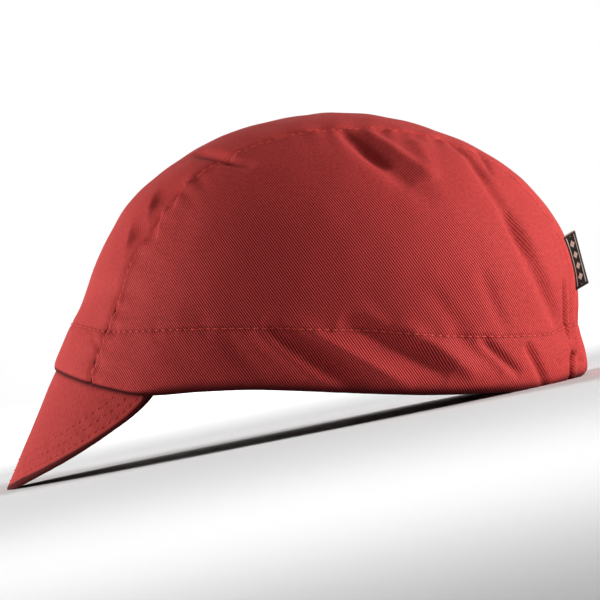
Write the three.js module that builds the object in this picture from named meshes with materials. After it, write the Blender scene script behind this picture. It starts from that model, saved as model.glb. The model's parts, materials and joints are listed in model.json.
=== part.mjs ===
import * as THREE from "three";
import { mergeVertices } from "three/addons/utils/BufferGeometryUtils.js";

// A cotton cycling cap of three panels, standing on its rear hem and the tip of its peak.
// Millimetres, +Z up, the peak towards -Y and the wearer's left side towards +X.
// The shape is worked out on a level rim first and leaned back to its resting place at the end.

// Driving dimensions
const RIM_LENGTH = 204; // outside of the crown at the rim, front to back
const RIM_WIDTH = 164; // outside of the crown at the rim, side to side
const CROWN_HEIGHT = 106; // rim to the highest point of the crown
const STRIP_WIDTH = 92; // centre panel at its front end
const CLOTH = 1.2; // wall of the panels: two layers of twill at the hem and seams
const GAP = 0.3; // clearance between neighbouring pieces
const HEM_ROLL = 1.2; // how far the folded hem turns in at its edge
const HEM_DEPTH = 3; // height over which the hem turns in
const BAND_HEIGHT = 22.5; // rim to the row of stitches that holds the sweatband
const BAND_CLOTH = 1.2; // wall of the folded sweatband
const BAND_LIFT = 1.4; // hem edge to the lower edge of the sweatband
const PEAK_WIDTH = 129; // peak between the ends of its seam
const PEAK_LENGTH = 49.5; // peak at its middle, seam to edge
const PEAK_THICKNESS = 2.6; // two layers of twill over a stiffener
const PEAK_SLOPE = THREE.MathUtils.degToRad(67.4); // peak below the level of the rim
const PEAK_SETBACK = 1; // peak behind the face of the crown at their seam
const FOLD_WIDTH = 8; // a wide fold, edge to edge
const FOLD_DEPTH = 3; // the deepest fold
const ELASTIC_WIDTH = 72; // the stretch of the rear hem that an elastic draws up
const PLEAT_DEPTH = 1.8; // depth of its pleats at the row of stitches
const LABEL_HEIGHT = 20.2; // label along the seam
const LABEL_REACH = 6.9; // label out from the seam
const LABEL_THICKNESS = 1; // folded woven tape
const LABEL_FOOT = 37.5; // rim to the lower end of the label
const REST_PRESS = 0.7; // how far the cloth is flattened where it rests

const HALF_LENGTH = RIM_LENGTH / 2;
const HALF_WIDTH = RIM_WIDTH / 2;
const HALF_STRIP = STRIP_WIDTH / 2;

// Mesh steps
const PANEL_COLUMNS = 46;
const PANEL_ROWS = 15;
const STRIP_ROWS = 12;
const BAND_COLUMNS = 56;
const BAND_ROWS = 3;
const PEAK_COLUMNS = 26;
const PEAK_ROWS = 6;
const LABEL_ROWS = 4;
const LABEL_COLUMNS = 2;

// Level sections of the crown: height as a share of the crown height, reach to the front and the
// back as shares of half the rim length, reach to the side as a share of half the rim width.
const SECTIONS = [
  { up: -0.08, front: 1.03, back: 0.986, side: 0.99 },
  { up: 0, front: 1.02, back: 0.991, side: 1.0 },
  { up: 0.094, front: 1.006, back: 1.0, side: 1.01 },
  { up: 0.24, front: 0.94, back: 0.968, side: 1.025 },
  { up: 0.31, front: 0.904, back: 0.966, side: 1.025 },
  { up: 0.42, front: 0.866, back: 0.955, side: 1.02 },
  { up: 0.567, front: 0.796, back: 0.907, side: 0.965 },
  { up: 0.675, front: 0.7245, back: 0.834, side: 0.89 },
  { up: 0.785, front: 0.6, back: 0.723, side: 0.765 },
  { up: 0.873, front: 0.463, back: 0.577, side: 0.6 },
  { up: 0.939, front: 0.313, back: 0.413, side: 0.43 },
  { up: 0.977, front: 0.159, back: 0.275, side: 0.27 },
  { up: 1, front: -0.069, back: 0.069, side: 0 },
];
const SECTION_POWER = 2.2; // squareness of each section, 2 being a plain ellipse
const EGG = 0.05; // how much wider a section is towards the back than towards the front

// Height of the rim along the cap, as shares of half the rim length and of the crown height.
const RIM = [
  { along: -1.02, up: 0.077 },
  { along: -0.93, up: 0.043 },
  { along: -0.82, up: 0.013 },
  { along: -0.66, up: -0.013 },
  { along: -0.45, up: 0.0 },
  { along: -0.25, up: 0.007 },
  { along: 0.05, up: -0.002 },
  { along: 0.38, up: -0.012 },
  { along: 0.65, up: -0.005 },
  { along: 0.82, up: 0.007 },
  { along: 0.92, up: 0.03 },
  { along: 1.0, up: 0.05 },
];

// The row of stitches over the sweatband, as shares of half the rim length and of the band height.
const BAND_LINE = [
  { along: -1.02, up: 1.12 },
  { along: -0.93, up: 1.09 },
  { along: -0.79, up: 0.98 },
  { along: -0.5, up: 1.02 },
  { along: -0.27, up: 1.04 },
  { along: 0.07, up: 1.01 },
  { along: 0.29, up: 0.96 },
  { along: 0.48, up: 0.907 },
  { along: 0.83, up: 0.93 },
  { along: 0.91, up: 1.06 },
  { along: 1.0, up: 1.14 },
];

// The left seam between the rim's front and back: place along and up as above, and the half width
// of the centre panel as a share of its half width at the front.
const SEAM = [
  { along: -0.868, up: 0.03, across: 0.989 },
  { along: -0.789, up: 0.24, across: 1.02 },
  { along: -0.716, up: 0.453, across: 1.01 },
  { along: -0.598, up: 0.642, across: 0.978 },
  { along: -0.441, up: 0.788, across: 0.913 },
  { along: -0.245, up: 0.873, across: 0.865 },
  { along: 0, up: 0.929, across: 0.804 },
  { along: 0.245, up: 0.929, across: 0.735 },
  { along: 0.441, up: 0.898, across: 0.641 },
  { along: 0.588, up: 0.842, across: 0.587 },
  { along: 0.745, up: 0.726, across: 0.565 },
  { along: 0.863, up: 0.594, across: 0.533 },
  { along: 0.922, up: 0.443, across: 0.478 },
  { along: 0.951, up: 0.236, across: 0.435 },
  { along: 0.961, up: 0.053, across: 0.435 },
];

// Folds as seen from the side, laid on the crown: each runs from one place through a middle to
// another (shares of half the rim length and of the crown height), is so wide and so deep (shares
// of the fold width and depth, a ridge being less than nothing deep) and is on one side.
const LEFT = 1;
const RIGHT = -1;
const FOLDS = [
  // the shoulder fold under the seam at the top, with its ridge
  { side: LEFT, from: [0.07, 0.95], middle: [0.235, 0.822], to: [0.43, 0.68], wide: 0.8, deep: 1 },
  { side: LEFT, from: [0.38, 0.95], middle: [0.41, 0.81], to: [0.45, 0.62], wide: 0.8, deep: -0.4 },
  // the long crease that runs down to the gathers
  { side: LEFT, from: [0.42, 0.9], middle: [0.69, 0.645], to: [0.91, 0.22], wide: 0.7, deep: 0.8 },
  { side: LEFT, from: [0.56, 0.42], middle: [0.62, 0.3], to: [0.69, 0.21], wide: 0.5, deep: 0.3 },
  { side: LEFT, from: [0.13, 0.37], middle: [0.24, 0.26], to: [0.33, 0.2], wide: 0.8, deep: 0.22 },
  { side: LEFT, from: [0.39, 0.37], middle: [0.47, 0.26], to: [0.54, 0.2], wide: 0.8, deep: 0.22 },
  // the slanting folds of the band
  { side: LEFT, from: [-0.37, 0.22], middle: [-0.29, 0.115], to: [-0.18, 0.02], wide: 0.8, deep: 0.4 },
  { side: LEFT, from: [-0.29, 0.23], middle: [-0.16, 0.11], to: [0.02, 0], wide: 0.7, deep: -0.3 },
  { side: LEFT, from: [-0.25, 0.25], middle: [-0.02, 0.134], to: [0.17, 0.02], wide: 1, deep: 0.7 },
  { side: LEFT, from: [-0.12, 0.23], middle: [0.14, 0.13], to: [0.39, 0.01], wide: 0.8, deep: -0.45 },
  { side: LEFT, from: [0.16, 0.21], middle: [0.34, 0.135], to: [0.51, 0.04], wide: 0.9, deep: 0.6 },
  { side: LEFT, from: [0.33, 0.21], middle: [0.45, 0.125], to: [0.57, 0.02], wide: 0.7, deep: -0.3 },
  { side: LEFT, from: [0.46, 0.22], middle: [0.57, 0.13], to: [0.66, 0.06], wide: 0.7, deep: 0.3 },
  { side: LEFT, from: [0.58, 0.18], middle: [0.66, 0.12], to: [0.73, 0.06], wide: 0.6, deep: 0.4 },
  { side: LEFT, from: [0.75, 0.17], middle: [0.79, 0.09], to: [0.84, 0], wide: 0.6, deep: 0.4 },
  { side: LEFT, from: [0.93, 0.17], middle: [0.922, 0.1], to: [0.935, 0.02], wide: 0.5, deep: 0.6 },
  // puckers of the front of the centre panel, beside the seam
  { side: LEFT, from: [-0.78, 0.53], middle: [-0.71, 0.58], to: [-0.63, 0.6], wide: 0.6, deep: 0.4 },
  { side: LEFT, from: [-0.68, 0.68], middle: [-0.6, 0.705], to: [-0.52, 0.7], wide: 0.6, deep: 0.45 },
  { side: LEFT, from: [-0.51, 0.86], middle: [-0.42, 0.84], to: [-0.24, 0.79], wide: 0.6, deep: 0.55 },
  // the far side's own folds
  { side: RIGHT, from: [0, 0.95], middle: [0.2, 0.87], to: [0.36, 0.7], wide: 0.8, deep: 0.8 },
  { side: RIGHT, from: [0.18, 0.96], middle: [0.3, 0.84], to: [0.45, 0.62], wide: 0.9, deep: -0.4 },
  { side: RIGHT, from: [0.46, 0.88], middle: [0.7, 0.62], to: [0.9, 0.24], wide: 0.7, deep: 0.75 },
  { side: RIGHT, from: [-0.32, 0.24], middle: [-0.1, 0.13], to: [0.12, 0.02], wide: 1, deep: 0.6 },
  { side: RIGHT, from: [-0.16, 0.24], middle: [0.06, 0.13], to: [0.28, 0.01], wide: 0.8, deep: -0.4 },
  { side: RIGHT, from: [0.1, 0.21], middle: [0.28, 0.12], to: [0.45, 0.03], wide: 0.9, deep: 0.55 },
  { side: RIGHT, from: [0.42, 0.21], middle: [0.54, 0.13], to: [0.64, 0.04], wide: 0.7, deep: 0.35 },
  { side: RIGHT, from: [0.7, 0.19], middle: [0.76, 0.1], to: [0.83, 0.01], wide: 0.6, deep: 0.4 },
  { side: RIGHT, from: [-0.6, 0.82], middle: [-0.5, 0.78], to: [-0.38, 0.76], wide: 0.6, deep: 0.45 },
];
const FOLD_STEPS = 8; // straight steps along a fold
const FOLD_FADE = 4; // how squarely a fold starts and ends

const PEAK_TAPER = 0.74; // how fast the peak shortens towards the ends of its seam
const PEAK_THINNEST = 0.3; // its thickness there, as a share of the thickness in the middle
const PLEATS = 8; // pleats over the elastic, an even number so that one is in the middle
const PLEAT_WANDER = 0.2; // unevenness of the pleats, as a share of a pleat
const PLEAT_ABOVE = 0.75; // how far the pleats rise over the stitches, as a share of the band
const PLEAT_BELOW = 0.7; // how far they fall below them, as a share of the band
const PANEL_EDGE_ROW = 0.035; // the first row of a side panel above its hem, as a share
const STATION_EASE = 1.35; // how much the columns of the panels close up towards the back
const HEM_STATION = 0.009; // the first column behind the front end of the seam, as a share
const RIM_BLEND = 4; // how soon the centre panel's rows leave the shape of its ends
const LABEL_TILT = THREE.MathUtils.degToRad(30); // label's reach above the level of the rim

const RED = 0xb22c30;
const BLACK = 0x2d2626;

// The casts that lay points on the crown start here, low in the middle of the head's room.
const HEART = new THREE.Vector3(0, 0.069 * HALF_LENGTH, -0.42 * CROWN_HEIGHT);
const CAST_STEPS = 40;
const SETTLE_STEPS = 4;
const FEELER = 0.5; // half the distance between two points that measure a slope

/** The value of one column where the key column has the given value, on a smooth curve. */
function smoothColumn(rows, key, column, at) {
  const last = rows.length - 1;
  let index = 0;
  while (index < last - 1 && at > rows[index + 1][key]) {
    index += 1;
  }
  const slope = (row) => {
    const before = rows[Math.max(row - 1, 0)];
    const after = rows[Math.min(row + 1, last)];
    return (after[column] - before[column]) / (after[key] - before[key]);
  };
  const here = rows[index];
  const next = rows[index + 1];
  const step = next[key] - here[key];
  const share = (at - here[key]) / step;
  const rest = 1 - share;
  return (
    here[column] * rest * rest * (1 + 2 * share) +
    next[column] * share * share * (1 + 2 * rest) +
    slope(index) * step * share * rest * rest -
    slope(index + 1) * step * share * share * rest
  );
}

// Near the top a dome widens with the square root of the drop, so the sections are read by that
// root, and one row mirrored beyond the top keeps the crown round there.
const nearTop = SECTIONS[SECTIONS.length - 2];
const PROFILE = SECTIONS.map((row) => ({ ...row, root: Math.sqrt(1 - row.up) })).reverse();
PROFILE.unshift({
  root: -Math.sqrt(1 - nearTop.up),
  front: -nearTop.back,
  back: -nearTop.front,
  side: -nearTop.side,
});

/** Middle, half length and half width of the crown's section at a height. */
function sectionAt(height) {
  const root = Math.sqrt(Math.max(0, 1 - height / CROWN_HEIGHT));
  const front = smoothColumn(PROFILE, "root", "front", root) * HALF_LENGTH;
  const back = smoothColumn(PROFILE, "root", "back", root) * HALF_LENGTH;
  const side = smoothColumn(PROFILE, "root", "side", root) * HALF_WIDTH;
  return { middle: (back - front) / 2, half: (back + front) / 2, side };
}

const squared = (value) => Math.sign(value) * Math.abs(value) ** (2 / SECTION_POWER);

/** The crown at a height, at a turn from the front middle round by the left side. */
function wallPoint(turn, height) {
  const { middle, half, side } = sectionAt(height);
  const lean = -squared(Math.cos(turn));
  const reach = side * squared(Math.sin(turn)) * (1 + EGG * lean);
  return new THREE.Vector3(reach, middle + half * lean, height);
}

function insideCrown(point) {
  const { middle, half, side } = sectionAt(point.z);
  if (half <= 0 || side <= 0) {
    return false;
  }
  const lean = (point.y - middle) / half;
  const across = point.x / (side * (1 + EGG * THREE.MathUtils.clamp(lean, -1, 1)));
  return Math.abs(lean) ** SECTION_POWER + Math.abs(across) ** SECTION_POWER < 1;
}

/** Where the line from the heart through the target meets the crown. */
function castToCrown(target) {
  const ray = target.clone().sub(HEART);
  const at = (height) => HEART.clone().addScaledVector(ray, (height - HEART.z) / ray.z);
  let low = SECTIONS[0].up * CROWN_HEIGHT;
  let high = CROWN_HEIGHT;
  for (let step = 0; step < CAST_STEPS; step += 1) {
    const height = (low + high) / 2;
    if (insideCrown(at(height))) {
      low = height;
    } else {
      high = height;
    }
  }
  return at(low);
}

/** The direction straight out of the crown at a point on it. */
function crownNormal(point) {
  const ray = point.clone().sub(HEART).normalize();
  const sideways = new THREE.Vector3(1, 0, 0).addScaledVector(ray, -ray.x).normalize();
  const lengthways = ray.clone().cross(sideways);
  const slope = (way) => {
    const ahead = castToCrown(point.clone().addScaledVector(way, FEELER));
    return ahead.sub(castToCrown(point.clone().addScaledVector(way, -FEELER)));
  };
  const normal = slope(sideways).cross(slope(lengthways)).normalize();
  return normal.dot(ray) < 0 ? normal.negate() : normal;
}

const rimHeight = (y) => smoothColumn(RIM, "along", "up", y / HALF_LENGTH) * CROWN_HEIGHT;
const bandLine = (y) => smoothColumn(BAND_LINE, "along", "up", y / HALF_LENGTH) * BAND_HEIGHT;

/** The hem's edge at a turn. */
function rimPoint(turn) {
  let point = wallPoint(turn, 0);
  for (let step = 0; step < SETTLE_STEPS; step += 1) {
    point = wallPoint(turn, rimHeight(point.y));
  }
  return point;
}

/** The turn at which the hem is so far from the middle, in front or at the back. */
function rimTurn(across, atBack) {
  let near = atBack ? Math.PI : 0;
  let far = Math.PI / 2;
  for (let step = 0; step < CAST_STEPS; step += 1) {
    const turn = (near + far) / 2;
    if (rimPoint(turn).x < across) {
      near = turn;
    } else {
      far = turn;
    }
  }
  return near;
}

/** A place seen from the side, laid on the crown's wall. */
function laidOnSide([along, up], side) {
  const height = up * CROWN_HEIGHT;
  const section = sectionAt(height);
  const lean = THREE.MathUtils.clamp((along * HALF_LENGTH - section.middle) / section.half, -1, 1);
  const across = (1 - Math.abs(lean) ** SECTION_POWER) ** (1 / SECTION_POWER);
  const reach = section.side * (1 + EGG * lean) * across;
  return new THREE.Vector3(side * reach, section.middle + section.half * lean, height);
}

/** A fold's path: a curve through its three places, as short straight steps on the crown. */
function foldPath({ side, from, middle, to }) {
  const start = new THREE.Vector2(...from);
  const end = new THREE.Vector2(...to);
  const pull = new THREE.Vector2(...middle).multiplyScalar(2);
  pull.addScaledVector(start, -0.5).addScaledVector(end, -0.5);
  const curve = new THREE.QuadraticBezierCurve(start, pull, end);
  return curve.getPoints(FOLD_STEPS).map((place) => laidOnSide([place.x, place.y], side));
}

const FOLD_PATHS = FOLDS.map((fold) => ({ ...fold, path: foldPath(fold) }));

/** Distance from a point to a path, and how far along the path its nearest place is. */
function nearestOnPath(point, path) {
  let best = { distance: Infinity, share: 0 };
  const step = new THREE.Line3();
  const foot = new THREE.Vector3();
  for (let index = 0; index < path.length - 1; index += 1) {
    step.set(path[index], path[index + 1]);
    const along = step.closestPointToPointParameter(point, true);
    const distance = step.at(along, foot).distanceTo(point);
    if (distance < best.distance) {
      best = { distance, share: (index + along) / (path.length - 1) };
    }
  }
  return best;
}

/** How far one fold lowers the cloth at a point. */
function foldDrop(point, fold) {
  const reach = (fold.wide * FOLD_WIDTH) / 2;
  const { distance, share } = nearestOnPath(point, fold.path);
  const fade = 1 - Math.abs(2 * share - 1) ** FOLD_FADE;
  return fold.deep * FOLD_DEPTH * fade * Math.exp(-((distance / reach) ** 2));
}

/** How far the elastic's pleats lower the cloth at a point. */
function pleatDrop(point) {
  if (point.y < 0) {
    return 0;
  }
  const pitch = ELASTIC_WIDTH / PLEATS;
  const beyond = (Math.abs(point.x) - ELASTIC_WIDTH / 2) / (pitch / 2);
  const fade = 1 - THREE.MathUtils.smoothstep(beyond, 0, 1);
  const over = point.z - bandLine(point.y);
  const spread = BAND_HEIGHT * (over > 0 ? PLEAT_ABOVE : PLEAT_BELOW);
  const turns = (2 * Math.PI * point.x) / pitch;
  const wave = Math.cos(turns + 2 * Math.PI * PLEAT_WANDER * Math.sin(turns / (PLEATS / 2)));
  return PLEAT_DEPTH * fade * Math.exp(-((over / spread) ** 2)) * (0.5 + 0.5 * wave);
}

/** How far the hem turns in at a point. */
function hemDrop(point) {
  const share = THREE.MathUtils.clamp((point.z - rimHeight(point.y)) / HEM_DEPTH, 0, 1);
  return HEM_ROLL * (1 - share) ** 2;
}

/** Height of the cloth over the plain crown at a point on it. */
function relief(point) {
  const drops = FOLD_PATHS.map((fold) => foldDrop(point, fold));
  return -drops.reduce((sum, drop) => sum + drop, hemDrop(point) + pleatDrop(point));
}

/** Moves a grid of points on the crown out along the crown's normals, by a function of each. */
function raised(grid, rise) {
  return grid.map((line) =>
    line.map((point) => point.clone().addScaledVector(crownNormal(point), rise(point))),
  );
}

/** One closed solid between two grids of points. A grid that wraps ends where it starts. */
function sheetSolid(outer, inner, wraps = false) {
  const corners = [];
  const addQuad = (a, b, c, d) => corners.push(a, b, c, a, c, d);
  const lastColumn = outer.length - 1;
  const lastRow = outer[0].length - 1;
  for (let i = 0; i < lastColumn; i += 1) {
    for (let j = 0; j < lastRow; j += 1) {
      addQuad(outer[i][j], outer[i + 1][j], outer[i + 1][j + 1], outer[i][j + 1]);
      addQuad(inner[i][j], inner[i][j + 1], inner[i + 1][j + 1], inner[i + 1][j]);
    }
    addQuad(inner[i][0], inner[i + 1][0], outer[i + 1][0], outer[i][0]);
    addQuad(outer[i][lastRow], outer[i + 1][lastRow], inner[i + 1][lastRow], inner[i][lastRow]);
  }
  if (!wraps) {
    for (let j = 0; j < lastRow; j += 1) {
      addQuad(inner[0][j], outer[0][j], outer[0][j + 1], inner[0][j + 1]);
      addQuad(
        outer[lastColumn][j],
        inner[lastColumn][j],
        inner[lastColumn][j + 1],
        outer[lastColumn][j + 1],
      );
    }
  }
  return closedGeometry(corners);
}

/** A closed body from triangle corners: shared corners merged, empty triangles left out. */
function closedGeometry(corners) {
  const loose = new THREE.BufferGeometry().setFromPoints(corners);
  const merged = mergeVertices(loose);
  const index = merged.getIndex().array;
  const kept = [];
  for (let at = 0; at < index.length; at += 3) {
    const [a, b, c] = index.slice(at, at + 3);
    if (a !== b && b !== c && c !== a) {
      kept.push(a, b, c);
    }
  }
  merged.setIndex(kept);
  return facingOut(merged);
}

/** Turns the triangles round where they enclose less than nothing. */
function facingOut(geometry) {
  const points = geometry.getAttribute("position");
  const index = geometry.getIndex().array;
  const corner = (at) => new THREE.Vector3().fromBufferAttribute(points, index[at]);
  let volume = 0;
  for (let at = 0; at < index.length; at += 3) {
    volume += corner(at).dot(corner(at + 1).cross(corner(at + 2)));
  }
  if (volume < 0) {
    geometry.setIndex(Array.from(index).reverse());
  }
  return geometry;
}

const steps = (count) => Array.from({ length: count + 1 }, (_, index) => index / count);

// Columns shared by the three panels, closer together where the back is gathered, with one more
// where the front hem turns in.
const STATIONS = steps(PANEL_COLUMNS).map((share) => 1 - (1 - share) ** STATION_EASE);
STATIONS.splice(1, 0, HEM_STATION);

/** The seam from the front of the rim to the back, moved sideways by a clearance. */
function seamPoints(clearance) {
  const half = (row) => row.across * HALF_STRIP + clearance;
  const places = SEAM.slice(1, -1).map((row) =>
    castToCrown(new THREE.Vector3(half(row), row.along * HALF_LENGTH, row.up * CROWN_HEIGHT)),
  );
  places.unshift(rimPoint(rimTurn(half(SEAM[0]), false)));
  places.push(rimPoint(rimTurn(half(SEAM[SEAM.length - 1]), true)));
  const curve = new THREE.CatmullRomCurve3(places, false, "centripetal");
  return STATIONS.map((share) => castToCrown(curve.getPointAt(share)));
}

const mirrored = (point) => new THREE.Vector3(-point.x, point.y, point.z);

/** A side panel: lines from the hem up to the seam, which share both corners. */
function sidePanel(side) {
  const seam = seamPoints(GAP / 2);
  const start = rimTurn(seam[0].x, false);
  const end = rimTurn(seam[seam.length - 1].x, true);
  const rows = steps(PANEL_ROWS - 1).map((share) => PANEL_EDGE_ROW + (1 - PANEL_EDGE_ROW) * share);
  const base = seam.map((top, column) => {
    const hem = rimPoint(start + (end - start) * STATIONS[column]);
    const line = [0, ...rows].map((share) => castToCrown(hem.clone().lerp(top, share)));
    return side === LEFT ? line : line.map(mirrored);
  });
  return sheetSolid(raised(base, relief), raised(base, (point) => relief(point) - CLOTH));
}

/** The centre panel: lines across from seam to seam, the first and last on the rim. */
function centrePanel() {
  const seam = seamPoints(-GAP / 2);
  const frontTurn = rimTurn(seam[0].x, false);
  const backTurn = rimTurn(seam[seam.length - 1].x, true);
  const across = steps(STRIP_ROWS).map((share) => 2 * share - 1);
  const chord = (point, share) => new THREE.Vector3(point.x * share, point.y, point.z);
  const base = seam.map((edge, column) =>
    across.map((share) => {
      const front = rimPoint(frontTurn * share).sub(chord(seam[0], share));
      const back = rimPoint(Math.PI - (Math.PI - backTurn) * share);
      back.sub(chord(seam[seam.length - 1], share));
      const place = chord(edge, share);
      place.addScaledVector(front, (1 - STATIONS[column]) ** RIM_BLEND);
      place.addScaledVector(back, STATIONS[column] ** RIM_BLEND);
      return castToCrown(place);
    }),
  );
  return sheetSolid(raised(base, relief), raised(base, (point) => relief(point) - CLOTH));
}

/** The lowest cloth near a place on the band, so that the sweatband clears every fold. */
function lowestNear(turn, height) {
  const reach = FOLD_WIDTH;
  const shifts = [-reach, -reach / 2, 0, reach / 2, reach];
  const levels = shifts.flatMap((over) =>
    shifts.map((round) => {
      const near = wallPoint(turn + round / HALF_WIDTH, height + over);
      return relief(near.setZ(Math.max(near.z, rimHeight(near.y))));
    }),
  );
  return Math.min(...levels);
}

/** The sweatband: a ring inside the hem, up to the row of stitches. */
function sweatband() {
  const inset = CLOTH + GAP;
  const columns = steps(BAND_COLUMNS).map((share) =>
    steps(BAND_ROWS).map((rise) => {
      const turn = 2 * Math.PI * share;
      const hem = rimPoint(turn);
      const foot = hem.z + BAND_LIFT;
      const height = foot + (bandLine(hem.y) - foot) * rise;
      const point = wallPoint(turn, height);
      return { point, normal: crownNormal(point), low: lowestNear(turn, height) };
    }),
  );
  const layer = (depth) =>
    columns.map((column) =>
      column.map(({ point, normal, low }) => point.clone().addScaledVector(normal, low - depth)),
    );
  return sheetSolid(layer(inset), layer(inset + BAND_CLOTH), true);
}

/** The peak: straight lines out of the front hem, shorter towards the ends of the seam. */
function peak() {
  const endTurn = rimTurn(PEAK_WIDTH / 2, false);
  const down = new THREE.Vector3(0, 0, -1);
  const lines = steps(PEAK_COLUMNS).map((share) => {
    const hem = rimPoint(endTurn * (2 * share - 1));
    const normal = crownNormal(hem);
    const root = hem.clone().addScaledVector(normal, -PEAK_SETBACK).addScaledVector(down, GAP);
    const outward = normal.setZ(0).normalize();
    const way = outward.clone().multiplyScalar(Math.cos(PEAK_SLOPE));
    way.addScaledVector(down, Math.sin(PEAK_SLOPE));
    const under = outward.clone().multiplyScalar(-Math.sin(PEAK_SLOPE));
    under.addScaledVector(down, Math.cos(PEAK_SLOPE));
    const spread = Math.max(0, 1 - (hem.x / (PEAK_WIDTH / 2)) ** 2);
    under.multiplyScalar(PEAK_THICKNESS * THREE.MathUtils.lerp(PEAK_THINNEST, 1, spread));
    return { root, way, under, length: PEAK_LENGTH * spread ** PEAK_TAPER };
  });
  const layer = (depth) =>
    lines.map(({ root, way, under, length }) =>
      steps(PEAK_ROWS).map((share) =>
        root.clone().addScaledVector(way, length * share).addScaledVector(under, depth),
      ),
    );
  return sheetSolid(layer(0), layer(1));
}

/** The label: a folded tape out of the left rear seam, which it follows, with a straight edge. */
function backLabel() {
  const seam = new THREE.CatmullRomCurve3(seamPoints(0));
  const rear = steps(PANEL_COLUMNS * LABEL_ROWS)
    .map((share) => seam.getPointAt(share))
    .filter((point) => point.y > HALF_LENGTH / 2);
  const atHeight = (height) =>
    rear.reduce((best, point) =>
      Math.abs(point.z - height) < Math.abs(best.z - height) ? point : best,
    );
  const way = new THREE.Vector3(0, Math.cos(LABEL_TILT), Math.sin(LABEL_TILT));
  const roots = steps(LABEL_ROWS).map((rise) => {
    const point = castToCrown(atHeight(LABEL_FOOT + LABEL_HEIGHT * rise));
    const lift = relief(point) + GAP + LABEL_THICKNESS / 2;
    return point.clone().addScaledVector(crownNormal(point), lift);
  });
  const low = roots[0].clone().addScaledVector(way, LABEL_REACH);
  const high = roots[LABEL_ROWS].clone().addScaledVector(way, LABEL_REACH);
  const grid = roots.map((root, row) => {
    const edge = low.clone().lerp(high, row / LABEL_ROWS);
    return steps(LABEL_COLUMNS).map((share) => root.clone().lerp(edge, share));
  });
  const shifted = (amount) =>
    grid.map((line) => line.map((point) => point.clone().setX(point.x + amount)));
  return sheetSolid(shifted(LABEL_THICKNESS / 2), shifted(-LABEL_THICKNESS / 2));
}

const twill = new THREE.MeshStandardMaterial({ color: RED, roughness: 0.85, metalness: 0 });
const tape = new THREE.MeshStandardMaterial({ color: RED, roughness: 0.9, metalness: 0 });
const woven = new THREE.MeshStandardMaterial({ color: BLACK, roughness: 0.7, metalness: 0 });

const PIECES = [
  { name: "side_panel_left", geometry: sidePanel(LEFT), material: twill },
  { name: "side_panel_right", geometry: sidePanel(RIGHT), material: twill },
  { name: "centre_panel", geometry: centrePanel(), material: twill },
  { name: "peak", geometry: peak(), material: twill },
  { name: "sweatband", geometry: sweatband(), material: tape },
  { name: "back_label", geometry: backLabel(), material: woven },
];

/** The lowest height of some pieces once the cap is leaned back. */
function lowestLeaned(pieces, lean) {
  const turn = new THREE.Matrix4().makeRotationX(-lean);
  const heights = pieces.map(({ geometry }) => {
    const turned = geometry.clone().applyMatrix4(turn);
    turned.computeBoundingBox();
    return turned.boundingBox.min.z;
  });
  return Math.min(...heights);
}

/** The lean at which the tip of the peak and the rear hem stand on one level. */
function restLean() {
  const front = PIECES.filter(({ name }) => name === "peak");
  const rear = PIECES.filter(({ name }) => name.includes("panel"));
  let low = 0;
  let high = Math.PI / 6;
  for (let step = 0; step < CAST_STEPS; step += 1) {
    const lean = (low + high) / 2;
    if (lowestLeaned(front, lean) < lowestLeaned(rear, lean)) {
      low = lean;
    } else {
      high = lean;
    }
  }
  return low;
}

/** Leans every piece back, sets it down and flattens the cloth that the surface presses. */
function settle() {
  const lean = restLean();
  const box = new THREE.Box3();
  PIECES.forEach(({ geometry }) => {
    geometry.applyMatrix4(new THREE.Matrix4().makeRotationX(-lean));
    geometry.computeBoundingBox();
    box.union(geometry.boundingBox);
  });
  const middle = box.getCenter(new THREE.Vector3());
  PIECES.forEach(({ geometry }) => {
    geometry.translate(-middle.x, -middle.y, -box.min.z - REST_PRESS);
    const points = geometry.getAttribute("position");
    for (let at = 0; at < points.count; at += 1) {
      points.setZ(at, Math.max(0, points.getZ(at)));
    }
  });
}

settle();

const cap = new THREE.Group();
PIECES.forEach(({ name, geometry, material }) => {
  geometry.computeVertexNormals();
  const mesh = new THREE.Mesh(geometry, material);
  mesh.name = name;
  cap.add(mesh);
});

export default cap;
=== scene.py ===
# %% [markdown]
# # A cotton cycling cap
#
# The cap is sewn from three panels of twill: two shaped sides and a strip that runs from the peak
# over the top to the back. A short stitched peak, a tape inside the hem and a small woven label
# complete it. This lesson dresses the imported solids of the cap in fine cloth. Each piece is worked
# out from the same sizes as its solid, so it lies in the same place, and then gets what the solid
# leaves out: rounded edges, puckers, rows of stitches and the weave.

import json
import math
from collections import namedtuple

import bmesh
import bpy
import numpy as np
from mathutils import Matrix, Vector

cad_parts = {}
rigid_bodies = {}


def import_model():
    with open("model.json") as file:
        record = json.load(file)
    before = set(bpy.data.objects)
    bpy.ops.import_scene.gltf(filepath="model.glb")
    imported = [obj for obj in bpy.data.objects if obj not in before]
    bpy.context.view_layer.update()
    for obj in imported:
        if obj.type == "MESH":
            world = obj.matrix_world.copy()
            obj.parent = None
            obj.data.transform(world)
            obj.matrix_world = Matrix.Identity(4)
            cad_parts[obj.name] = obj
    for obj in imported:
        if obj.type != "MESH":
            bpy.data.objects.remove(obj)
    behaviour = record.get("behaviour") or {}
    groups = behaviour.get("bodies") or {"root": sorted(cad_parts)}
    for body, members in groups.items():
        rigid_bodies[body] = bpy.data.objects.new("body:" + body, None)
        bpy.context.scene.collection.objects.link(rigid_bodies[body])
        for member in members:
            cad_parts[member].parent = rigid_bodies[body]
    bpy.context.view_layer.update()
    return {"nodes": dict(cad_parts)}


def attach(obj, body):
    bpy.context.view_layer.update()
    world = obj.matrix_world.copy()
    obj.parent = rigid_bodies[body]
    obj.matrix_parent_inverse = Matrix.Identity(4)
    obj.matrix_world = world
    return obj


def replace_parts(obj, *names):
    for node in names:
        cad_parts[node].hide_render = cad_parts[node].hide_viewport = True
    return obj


for leftover in list(bpy.data.objects):
    bpy.data.objects.remove(leftover)
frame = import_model()
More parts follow.
